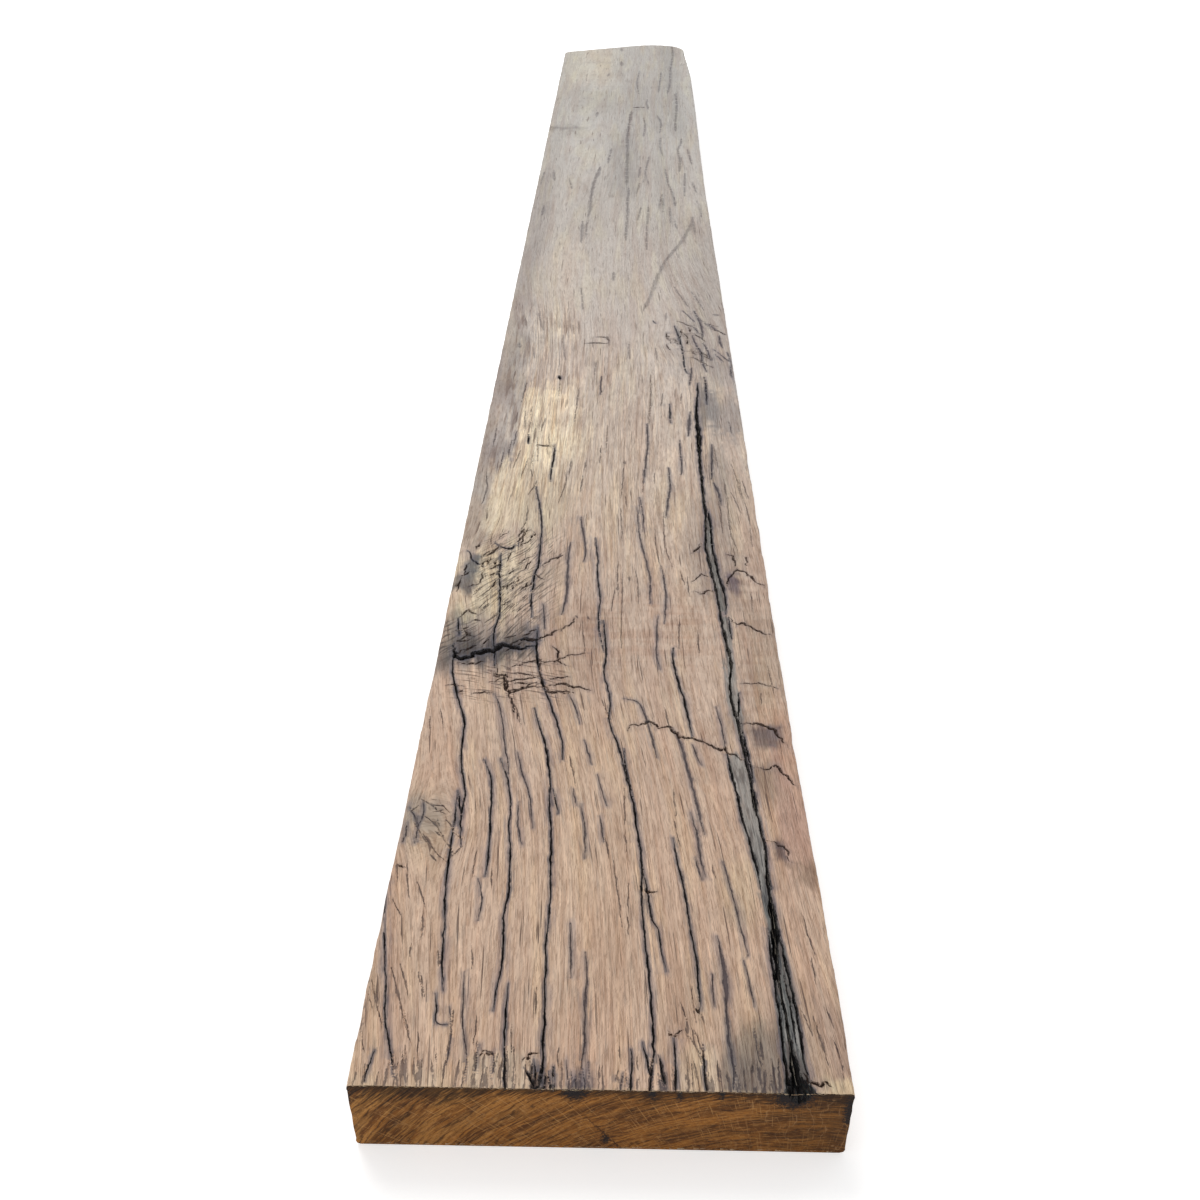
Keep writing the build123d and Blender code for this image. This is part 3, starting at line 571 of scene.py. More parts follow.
# %% All grooves, with what each leaves on the wood
# The dark line of a check is wider than its mouth, because stain runs along it.
# kind: how deep, how strongly it shows, how much iron has stained it, mouth for each mm of dark line
KINDS = {
    "split": (15.0, 1.0, 1.0, 1.0),
    "branch": (6.0, 1.0, 0.9, 0.85),
    "fissure": (6.0, 1.0, 0.7, 1.0),
    "cross": (2.2, 0.95, 0.3, 1.3),
    "open": (8.0, 0.95, 0.85, 0.6),
    "shut": (0.8, 0.66, 0.95, 0.62),
    "brown": (0.6, 0.62, 0.12, 0.95),
    "worn": (0.5, 0.34, 0.5, 0.55),
    "rubbed": (0.5, 0.3, 0.4, 0.7),
}
grooves = []


def add_grooves(kind, routes):
    """Walks routes of one kind, each with its mouth or with one at each point."""
    for route in routes:
        mouth, points = route if isinstance(route, tuple) else (0, route)
        share = KINDS[kind][3]
        points = [(p[0], p[1], share * (p[2] if len(p) > 2 else mouth)) for p in points]
        centre, across, mouths = walk(points, 7 * len(grooves) + 1, kind in ("cross", "fissure"))
        grooves.append({"kind": kind, "centre": centre, "across": across, "mouth": mouths})


for kind, routes in (("split", [SPLIT]), ("branch", SPLIT_BRANCHES), ("fissure", FISSURES),
                     ("cross", CROSS_BREAKS), ("open", OPEN_CHECKS), ("shut", SHUT_CHECKS),
                     ("brown", BROWN_CHECKS), ("worn", WORN_CHECKS), ("rubbed", RUBBED)):
    add_grooves(kind, routes)

# The saw tore short notches into the soft wood beside its cut, more than a list is worth.
# kind, from x, to x, how far in, how many
NOTCHES = [
    ("brown", -118, 84, 18, 44), ("open", -33, -26, 15, 6), ("open", -24, -21, 14, 3),
    ("shut", -16, -4, 15, 7), ("shut", 27, 32, 17, 4), ("brown", 61, 88, 26, 6),
    ("shut", 8, 13, 10, 3), ("brown", -62, -38, 22, 7), ("brown", 34, 58, 20, 6),
]
rng = np.random.default_rng(3)
for kind, first_x, last_x, reach_in, how_many in NOTCHES:
    notches = []
    for number in range(how_many):
        start_x = first_x + (number + rng.uniform(0.1, 0.9)) * (last_x - first_x) / how_many
        run, lean = reach_in * rng.uniform(0.35, 1.1), rng.uniform(-0.13, 0.09)
        notches.append((rng.uniform(0.8, 1.5), [(start_x, -1), (start_x + lean * run, run)]))
    add_grooves(kind, notches)

# Round the knots, and where the face broke along a slant, small breaks crowd together.
# kind, from x, to x, from y, to y, lean from the board's length in radians, how long, how many
THICKETS = [
    # The middle knot, and the wood before and beside the fissure
    ("cross", -118, -62, 420, 505, 0.5, 16, 32), ("brown", -100, -52, 372, 430, 0.55, 16, 22),
    ("cross", -108, -66, 338, 372, 1.1, 14, 9), ("cross", -104, -34, 292, 332, 1.35, 13, 8),
    # The right knot and the wood round it
    ("cross", 50, 78, 866, 918, -0.2, 17, 10), ("cross", 74, 114, 800, 935, -0.5, 26, 10),
    ("shut", 74, 112, 820, 985, -0.4, 30, 7),
    # The strip beside the split, the bands of cream and the worn far half
    ("brown", 86, 112, 470, 640, -0.1, 36, 8), ("brown", -100, -50, 600, 740, -0.05, 40, 12),
    ("worn", 12, 108, 1180, 1700, 0.0, 60, 8),
]
for kind, first_x, last_x, first_y, last_y, lean, how_long, how_many in THICKETS:
    breaks = []
    for number in range(how_many):
        middle = np.array([rng.uniform(first_x, last_x), rng.uniform(first_y, last_y)])
        heading = lean + rng.uniform(-0.4, 0.4) * (kind == "cross") + rng.uniform(-0.08, 0.08)
        half_run = how_long * rng.uniform(0.25, 0.6) * np.array([math.sin(heading), math.cos(heading)])
        width = 1.0 if kind != "worn" else 3.6
        breaks.append((width * rng.uniform(0.7, 1.3), [middle + half_run, middle, middle - half_run]))
    add_grooves(kind, breaks)
print(len(grooves), "grooves,", sum(len(g["centre"]) for g in grooves), "steps")

# %% [markdown]
# ## The outline
# The board's long edges follow the tree: the left one is straight and runs in a little, the right
# one narrows to a waist and swells again. The far end was cut long ago, at a slant, and its right
# corner is worn round. The loop starts at the near right corner and goes round the far end, so its
# outward side is always on its right.

# %% The outline of the board
# The bends at the far end, each steered by four corners
FAR_RIGHT = [(119.1, 2343), (117.6, 2374), (99, 2400), (72.1, 2400)]
FAR_TIP = [(72.1, 2400), (57, 2400), (40, 2400), (26.1, 2394)]
LEFT_CORNER = [(-109.5, 2333.5), (-114, 2331.5), (-117.2, 2327), (-117.15, 2321)]


def right_edge(along):
    """The right edge's x: eased from point to point."""
    marks = np.array([(0, 120.5), (330, 117.5), (1350, 117.5), (2110, 124.1), (2343, 119.1)])
    low_mark = np.clip(np.searchsorted(marks[:, 0], along, side="right") - 1, 0, 3)
    t = np.clip((along - marks[low_mark, 0]) / (marks[low_mark + 1, 0] - marks[low_mark, 0]), 0, 1)
    t = t * t * (3 - 2 * t)
    return marks[low_mark, 1] * (1 - t) + marks[low_mark + 1, 1] * t


def left_edge(along):
    """The left edge's x: straight, but drawn in a little."""
    return -120.5 + 3.4 * np.asarray(along, float) / 2330


def bend(corners, count):
    """Points on the smooth bend that four corners steer."""
    t = np.linspace(0, 1, count)[:, None]
    a, b, c, d = (np.array(corner, float) for corner in corners)
    return a * (1 - t) ** 3 + 3 * b * t * (1 - t) ** 2 + 3 * c * t * t * (1 - t) + d * t ** 3


def stations(start, end):
    """Distances along the board, closer together near the sawn end."""
    found = [start]
    while found[-1] < end:
        found.append(found[-1] + float(np.interp(found[-1], (0, 250, 700, 2400), (2.0, 2.6, 4.5, 8.0))))
    found = np.array(found)
    return start + (found - start) * (end - start) / (found[-1] - start)


up_right = stations(FIBRE_ROOM, 2343)
down_left = stations(FIBRE_ROOM, LEFT_CORNER[3][1])[::-1]
far_cut = np.linspace(FAR_TIP[3], LEFT_CORNER[0], 42)
outline = np.concatenate([
    np.stack([right_edge(up_right), up_right], 1), bend(FAR_RIGHT, 26)[1:], bend(FAR_TIP, 14)[1:],
    far_cut[1:], bend(LEFT_CORNER, 7)[1:], np.stack([left_edge(down_left), down_left], 1)[1:]])
heading = np.gradient(outline, axis=0)
outward = np.stack([heading[:, 1], -heading[:, 0]], 1)
outward /= np.linalg.norm(outward, axis=1)[:, None]
outward[0], outward[-1] = (1, 0), (-1, 0)
print(len(outline), "points round the outline")

# %% [markdown]
# ## Which way the grain runs
# Everything on this face follows the grain: pores, streaks, stains and checks. Each place then gets
# a number that stays the same along one line of grain: how far across the board that line starts at
# the sawn end. A pattern drawn in that number bends as the wood does.

# %% The grain field
KNOTS = [(-102.5, 176, 22), (-78.5, 468, 24), (68, 888, 22)]  # x, y, radius
FIELD_X = np.arange(-126, 127, 3.0)  # the marks of the table of slopes
FIELD_Y = np.arange(-4, 2408, 4.0)
LINE_X = np.arange(-130, 131, 1.0)  # where each line of grain starts

witness = []
for g in grooves:
    if g["kind"] in ("cross", "fissure", "rubbed"):
        continue
    rise = g["centre"][4:] - g["centre"][:-4]
    keep = np.abs(rise[:, 1]) > 3 * np.abs(rise[:, 0])
    middle = (g["centre"][4:] + g["centre"][:-4]) / 2
    witness.append(np.column_stack([middle, rise[:, 0] / (rise[:, 1] + 1e-9)])[keep][::3])
witness = np.concatenate(witness)

field = np.zeros((len(FIELD_Y), len(FIELD_X)))
for row, along in enumerate(FIELD_Y):
    near = witness[np.abs(witness[:, 1] - along) < 260]
    spread = float(np.interp(along, (500, 900), (1.0, 2.2)))
    pull = np.exp(-((near[:, 1] - along) / (70 * spread)) ** 2)[None] * np.exp(
        -((near[:, 0][None] - FIELD_X[:, None]) / (16 * spread)) ** 2)
    field[row] = (pull * near[:, 2][None]).sum(1) / (pull.sum(1) + 0.6 * spread)


def look_up(table, xs, ys, x, y):
    """A value between the marks of a table."""
    i = np.clip((x - xs[0]) / (xs[1] - xs[0]), 0, len(xs) - 1.001)
    j = np.clip((y - ys[0]) / (ys[1] - ys[0]), 0, len(ys) - 1.001)
    a, b = i.astype(int), j.astype(int)
    u, v = i - a, j - b
    return ((table[b, a] * (1 - u) + table[b, a + 1] * u) * (1 - v)
            + (table[b + 1, a] * (1 - u) + table[b + 1, a + 1] * u) * v)


grain_lines = np.zeros((len(FIELD_Y), len(LINE_X)))
grain_lines[0] = LINE_X
for row in range(1, len(FIELD_Y)):
    slope = look_up(field, FIELD_X, FIELD_Y, LINE_X, np.full(len(LINE_X), FIELD_Y[row] - 2))
    back = LINE_X - slope * (FIELD_Y[row] - FIELD_Y[row - 1])
    grain_lines[row] = np.interp(back, LINE_X, grain_lines[row - 1])
    grain_lines[row] += np.minimum(back - LINE_X[0], 0) + np.maximum(back - LINE_X[-1], 0)


def grain_across(x, y):
    """The grain number of places on the face, with the lines parted round the knots."""
    number = look_up(grain_lines, LINE_X, FIELD_Y, x, y)
    for knot_x, knot_y, radius in KNOTS:
        away = ((x - knot_x) ** 2 + ((y - knot_y) / 1.6) ** 2) / radius ** 2
        number = number - 0.55 * (x - knot_x) * np.exp(-away)
    return number


print(len(witness), "witnesses, slopes", field.min().round(3), "to", field.max().round(3))

# %% [markdown]
# ## Points on the face
# So the points stand where something happens: in rows along each check, at its root, its lips and
# its stained rim, and only thinly between them. A Delaunay triangulation joins them all
# afterwards.

# %% Rows of points along the grooves
from mathutils.kdtree import KDTree

LEAST_DEPTH = 0.3
DEPTH_BY_MOUTH = 3.4  # a narrow mouth can't be deep
RIMS = (0.55, 2.6)  # rows beside each lip, where its stain fades
END_GAPS = (1.0, 3.6)  # points ahead of each end, which close it off
SEARCH_REACH = 9.0  # no groove farther off matters to a place


def tree_of(places):
    """A search tree of places in plan."""
    tree = KDTree(len(places))
    for number, (x, y) in enumerate(places):
        tree.insert((x, y, 0), number)
    tree.balance()
    return tree


roots = np.concatenate([g["centre"] for g in grooves])
root_mouth = np.concatenate([g["mouth"] for g in grooves])
root_kind = np.concatenate([np.tile(KINDS[g["kind"]], (len(g["mouth"]), 1)) for g in grooves])
root_owner = np.concatenate([np.full(len(g["mouth"]), k) for k, g in enumerate(grooves)])
root_tree = tree_of(roots)


def groove_depth(g):
    """How deep each step of a groove is. At the saw cut, shreds fill half of it."""
    shreds = np.interp(g["centre"][:, 1], (0, 24), (0.5, 1.0))
    return np.minimum(KINDS[g["kind"]][0], LEAST_DEPTH + DEPTH_BY_MOUTH * g["mouth"]) * shreds


rows = []
for number, g in enumerate(grooves):
    half, deep = g["mouth"] / 2, groove_depth(g)
    wide = g["mouth"].max() > 3
    profile = [(0.0, 1.0), (-1.0, 0.0), (1.0, 0.0)]
    if wide:
        profile += [(-0.55, 0.7), (0.55, 0.7), (-0.8, 0.25), (0.8, 0.25)]
    for share, drop in profile:
        spot = g["centre"] + g["across"] * (half * share)[:, None]
        rows.append(np.column_stack([spot, deep * drop, np.full(len(half), number)]))
    for side in (-1, 1):
        for rim in RIMS[:1] if g["kind"] in ("brown", "cross") else RIMS:
            spot = g["centre"] + g["across"] * (side * (half + rim))[:, None]
            rows.append(np.column_stack([spot, half * 0, np.full(len(half), number)]))
    for end, inner in ((0, 1), (-1, -2)):
        ahead = g["centre"][end] - g["centre"][inner]
        ahead = ahead / np.hypot(*ahead)
        for gap in END_GAPS:
            rows.append([[*(g["centre"][end] + ahead * gap), 0.0, number]])
rows = np.concatenate(rows)

# Where two grooves meet, the deeper one keeps its points.
keep = np.ones(len(rows), bool)
for number, (x, y, deep, owner) in enumerate(rows):
    for place, other, gap in root_tree.find_range((x, y, 0), SEARCH_REACH):
        if root_owner[other] != owner and gap < root_mouth[other] / 2 + 0.35:
            if deep <= min(root_kind[other, 0], LEAST_DEPTH + DEPTH_BY_MOUTH * root_mouth[other]) * 0.9:
                keep[number] = False
                break
rows = rows[keep]
print(len(rows), "points in rows")

# %% Thin points between the grooves
rng = np.random.default_rng(7)
between = []
along = FIBRE_ROOM + 1.2
while along < 2399:
    gap = float(np.interp(along, (0, 140, 560, 1000, 2400), (2.4, 3.2, 4.6, 8.0, 11.0)))
    across = np.arange(-121, 124.5, gap * 0.8)
    line = np.column_stack([across, np.full(len(across), along)])
    between.append(line + rng.uniform(-0.3, 0.3, (len(across), 2)) * gap)
    along += gap
between = np.concatenate(between)
row_tree = tree_of(rows[:, :2])
free = [row_tree.find((x, y, 0))[2] > 1.1 for x, y in between]
between = between[np.array(free)]
print(len(between), "points between them")

# %% [markdown]
# ## The worn edges, and the loop round the face
# The long top edges are worn round and a little chipped, most of all on the left near the saw cut.
# The sawn edge itself is still sharp. The loop of points round the face follows these edges, and
# along the saw cut it dips wherever a check runs out of the end.

# %% The loop round the face
EDGE_WEAR = 1.9  # millimetres of the top edge that are worn away
CUT_STEP = 1.15  # from point to point along the saw cut
reach = np.concatenate([[0], np.cumsum(np.hypot(*np.diff(outline, axis=0).T))])
wear = EDGE_WEAR * (1 + 0.55 * soft_noise(reach / 14, reach * 0, 21)
                    + 0.3 * soft_noise(reach / 4, reach * 0, 22))
chips = np.clip(soft_noise(reach / 23, reach * 0, 23) - 0.45, 0, 1) * 5.0
wear = wear + chips * (outline[:, 1] < 700)
face_loop = outline - outward * wear[:, None]
face_loop[0, 1] = face_loop[-1, 1] = FIBRE_ROOM

cut_rows = []  # x, how deep, half the mouth
for g in grooves:
    line = g["centre"]
    for end in (0, -1):
        if line[end][1] >= FIBRE_ROOM:
            continue
        if end == 0:
            step = np.argmax(line[:, 1] > FIBRE_ROOM)
        else:
            step = len(line) - 1 - np.argmax(line[::-1, 1] > FIBRE_ROOM)
        middle, half = line[step, 0], g["mouth"][step] / 2
        deep = groove_depth(g)[step]
        shares = (-1, -0.8, -0.55, 0, 0.55, 0.8, 1) if half > 1.5 else (-1, 0, 1)
        drops = (0, 0.25, 0.7, 1, 0.7, 0.25, 0) if half > 1.5 else (0, 1, 0)
        for share, drop in zip(shares, drops):
            cut_rows.append((middle + half * share, deep * drop, half))
cut_rows = np.array(cut_rows)
near_x = np.arange(face_loop[-1, 0] + 1.0, face_loop[0, 0] - 0.6, CUT_STEP)
near_x = np.array([x for x in near_x if np.abs(cut_rows[:, 0] - x).min() > 0.55
                   and not any(abs(x - c) < h for c, _, h in cut_rows if h > 1)])
near_edge = np.concatenate([np.column_stack([near_x, near_x * 0]), cut_rows[:, :2]])
near_edge = near_edge[np.argsort(near_edge[:, 0])]
near_edge = near_edge[np.concatenate([[True], np.diff(near_edge[:, 0]) > 0.12])]
print(len(near_edge), "points along the saw cut")

# %% Gather the face
loop_count, cut_count = len(face_loop), len(near_edge)
spots = np.concatenate([
    np.column_stack([face_loop, np.zeros(loop_count)]),
    np.column_stack([near_edge[:, 0], np.full(cut_count, FIBRE_ROOM), near_edge[:, 1]]),
    rows[:, :3], np.column_stack([between, np.zeros(len(between))])])
inside = np.ones(len(spots), bool)
loop_tree = tree_of(face_loop)


def inside_loop(x, y, loop):
    """Whether points lie inside a closed loop."""
    result = np.zeros(len(x), bool)
    for (ax, ay), (bx, by) in zip(loop, np.roll(loop, -1, axis=0)):
        crosses = (ay > y) != (by > y)
        result ^= crosses & (x < (bx - ax) * (y - ay) / (by - ay + 1e-12) + ax)
    return result


first_free = loop_count + cut_count
inside[first_free:] = inside_loop(spots[first_free:, 0], spots[first_free:, 1], face_loop)
for number in range(first_free, len(spots)):
    x, y = spots[number, :2]
    if inside[number] and (y < FIBRE_ROOM + 0.6 or loop_tree.find((x, y, 0))[2] < 0.9):
        inside[number] = False
spots = spots[inside]
print(len(spots), "points on the face")

# %% [markdown]
# ## Height of the face
# The face isn't flat: years of weather wash the soft early wood out and leave the hard late wood
# proud, the knots sink, and the grey slivers between the split's two lips lie lower than the rest.

# %% Heights
sliver_steps = []
for points in SLIVERS:
    points = np.array(points, float)
    fine = np.arange(points[0, 1], points[-1, 1], 1.5)
    sliver_steps.append(np.column_stack([np.interp(fine, points[:, 1], points[:, 0]), fine,
                                         np.interp(fine, points[:, 1], points[:, 2])]))
sliver_steps = np.concatenate(sliver_steps)
sliver_tree = tree_of(sliver_steps[:, :2])


def in_sliver(x, y):
    """How far inside a sunken sliver a place is: 1 in its middle, 0 just outside it."""
    share = np.zeros(len(x))
    for number in np.flatnonzero((x > 66) & (x < 100) & (y < 545)):
        place, nearest, gap = sliver_tree.find((x[number], y[number], 0))
        half = sliver_steps[nearest, 2] / 2
        share[number] = np.clip((half - gap) / 3.0 + 0.4, 0, 1)
    return share


def face_drop(x, y):
    """How far the weathered face lies below the board's full thickness."""
    number = grain_across(x, y)
    drop = 0.22 + 0.16 * soft_noise(number / 5, y / 70, 31) + 0.10 * soft_noise(number / 2.1, y / 40, 32)
    drop += 0.22 * soft_noise(number / 30, y / 160, 33)
    for knot_x, knot_y, radius in KNOTS:
        away = ((x - knot_x) ** 2 + (y - knot_y) ** 2) / radius ** 2
        drop += 1.1 * np.exp(-away * 1.4)
    drop += 0.7 * in_sliver(x, y)
    return np.maximum(drop, 0.03)


face_height = THICKNESS - face_drop(spots[:, 0], spots[:, 1]) - spots[:, 2]
print("face from", face_height.min().round(2), "to", face_height.max().round(2), "mm high")

# %% [markdown]
# ## One closed skin
# The board is one mesh: the face, strips of quads down the long sides and round the far end, the
# sawn end and the underside. They share the points where they meet, so the skin is closed and
# nothing can show a gap.

# %% Helpers for the skin
FACE, SAWN_END, UNDERSIDE, FAR_END = range(4)  # kinds of face; the long sides are FACE too
points, faces, face_kind = [], [], []


def add_points(places):
    """Adds points to the skin and gives their numbers."""
    start = sum(len(block) for block in points)
    points.append(np.asarray(places, float))
    return np.arange(start, start + len(places))


def fill(numbers, flat, loop, kind, flip=False):
    """Triangles between points seen flat, inside the loop of their first ones."""
    edges = [(loop[k], loop[(k + 1) % len(loop)]) for k in range(len(loop))]
    coords = [Vector((float(a), float(b))) for a, b in flat]
    made = delaunay_2d_cdt(coords, edges, [], 1, 1e-6)
    origin = [sources[0] if sources else -1 for sources in made[3]]
    if -1 in origin:
        print("crossing edges in", kind, origin.count(-1))
    for triangle in made[2]:
        own = [origin[k] for k in triangle]
        if -1 in own:
            continue
        (ax, ay), (bx, by), (cx, cy) = (flat[k] for k in own)
        if ((bx - ax) * (cy - ay) - (by - ay) * (cx - ax) < 0) != flip:
            own.reverse()
        faces.append([int(numbers[k]) for k in own])
        face_kind.append(kind)


def net_inside(net_a, net_b, loop, room):
    """The points of a net that lie inside a loop and clear of it."""
    net = np.column_stack([net_a.ravel(), net_b.ravel()])
    near_loop = tree_of(loop)
    clear = inside_loop(net[:, 0], net[:, 1], loop)
    clear &= np.array([near_loop.find((a, b, 0))[2] > room for a, b in net])
    return net[clear]


# %% The face
face_numbers = add_points(np.column_stack([spots[:, :2], face_height]))
cut_numbers = face_numbers[loop_count:first_free]
fill(face_numbers, spots[:, :2], list(range(first_free)), FACE)
print(len(faces), "triangles on the face")

# %% The long sides and the far end
UNDER_EDGE = [(0.0, 2.6), (0.7, 0.8), (2.6, 0.0)]  # the worn lower edge: inset and height
SIDE_DROPS = (4.5, 9, 14, 19, 24, 29, 34, 39, 43)  # rings down the sides, below the top


def side_ring(inset, height):
    """Adds a ring of points, so far inside the outline and so high."""
    place = outline - outward * np.asarray(inset).reshape(-1, 1)
    place[0, 1] = place[-1, 1] = FIBRE_ROOM
    return add_points(np.column_stack([place, np.broadcast_to(height, len(place))]))


rings = [face_numbers[:loop_count]]
ring_height = face_height[:loop_count]
rings.append(side_ring(wear * 0.42, ring_height - wear * 0.16))
rings.append(side_ring(wear * 0.12, ring_height - wear * 0.5))
rings.append(side_ring(wear * 0, ring_height - wear * 1.3))
for drop in SIDE_DROPS:
    dent = 0.25 + 0.22 * soft_noise(reach / 45, reach * 0 + drop / 3.0, 41)
    dent += 0.12 * soft_noise(reach / 9, reach * 0 + drop / 1.7, 42)
    rings.append(side_ring(np.maximum(dent, 0.02), THICKNESS - drop))
for inset, height in UNDER_EDGE:
    rings.append(side_ring(inset * (1 + 0.3 * soft_noise(reach / 12, reach * 0, 43)), height))
for upper, lower in zip(rings, rings[1:]):
    for k in range(loop_count - 1):
        faces.append([int(upper[k]), int(lower[k]), int(lower[k + 1]), int(upper[k + 1])])
        face_kind.append(FAR_END if outward[k, 1] > 0.8 and upper is not rings[0] else FACE)
print(len(rings), "rings of", loop_count)

# %% The sawn end
right_side = [ring[0] for ring in rings]
left_side = [ring[-1] for ring in rings]
under_x = np.arange(-115, 116, 3.0)
under_cut = add_points(np.column_stack([under_x, under_x * 0 + FIBRE_ROOM, under_x * 0]))
end_ring = [int(k) for k in (*left_side, *under_cut, *right_side[::-1], *cut_numbers[::-1])]
net_x, net_z = np.meshgrid(np.arange(-118.6, 119, 1.9), np.arange(1.3, 45, 1.9))
net_x = net_x + 0.5 * soft_noise(net_x * 3.1, net_z * 3.7, 51)
net_z = net_z + 0.5 * soft_noise(net_x * 2.9, net_z * 3.3, 52)
every = np.concatenate(points)
loop_xz = every[end_ring][:, (0, 2)]
net = net_inside(net_x, net_z, loop_xz, 0.8)
end_inner = add_points(np.column_stack([net[:, 0], net[:, 0] * 0 + FIBRE_ROOM, net[:, 1]]))
end_numbers = np.concatenate([end_ring, end_inner])
before = len(faces)
fill(end_numbers, np.concatenate([loop_xz, net]), list(range(len(end_ring))), SAWN_END)
print(len(faces) - before, "triangles on the sawn end")

# %% The underside
every = np.concatenate(points)
under_ring = [int(k) for k in (*rings[-1], *under_cut)]
loop_xy = every[under_ring][:, :2]
net_x, net_y = np.meshgrid(np.arange(-114, 120, 13.0), np.arange(8, 2396, 16.0))
net = net_inside(net_x, net_y, loop_xy, 4)
under_inner = add_points(np.column_stack([net, net[:, 0] * 0]))
under_numbers = np.concatenate([under_ring, under_inner])
before = len(faces)
fill(under_numbers, np.concatenate([loop_xy, net]), list(range(len(under_ring))), UNDERSIDE, flip=True)
print(len(faces) - before, "triangles on the underside")

# %% The board's mesh
SLOTS = {SAWN_END: 1, FAR_END: 2}  # the two ends' materials; everything else has the first one
SHARP_DEGREES = 42
every = np.concatenate(points)
mesh = bpy.data.meshes.new("oak_board")
mesh.from_pydata(to_frame(every).tolist(), [], faces)
mesh.polygons.foreach_set("material_index", [SLOTS.get(kind, 0) for kind in face_kind])
mesh.polygons.foreach_set("use_smooth", [True] * len(faces))
mesh.set_sharp_from_angle(angle=math.radians(SHARP_DEGREES))
board = bpy.data.objects.new("oak_board", mesh)
bpy.context.scene.collection.objects.link(board)

check_mesh = bmesh.new()
check_mesh.from_mesh(mesh)
open_edges = sum(1 for edge in check_mesh.edges if len(edge.link_faces) != 2)
volume = check_mesh.calc_volume(signed=True)
check_mesh.free()
triangles = sum(len(face) - 2 for face in faces)
print(triangles, "triangles,", open_edges, "open edges, volume", round(volume * 1e6), "cubic cm")

# %% [markdown]
# ## What each place on the skin remembers
# The materials need to know more than where they are: which line of grain they lie on, whether they
# are inside a check, how far iron has stained them and what tone the wood has there. These go on
# the mesh as attributes. Tones are broad, so they are given as soft patches in plain hex colours.

# %% Tones of the face
ALONG_TONES = [(0, "#D6B9A2"), (150, "#D4B8A2"), (330, "#CFB8A6"), (560, "#D1BFAF"),
               (900, "#CBC0B7"), (1300, "#C0B9B2"), (1800, "#BCB8B3"), (2400, "#C0BCB6")]
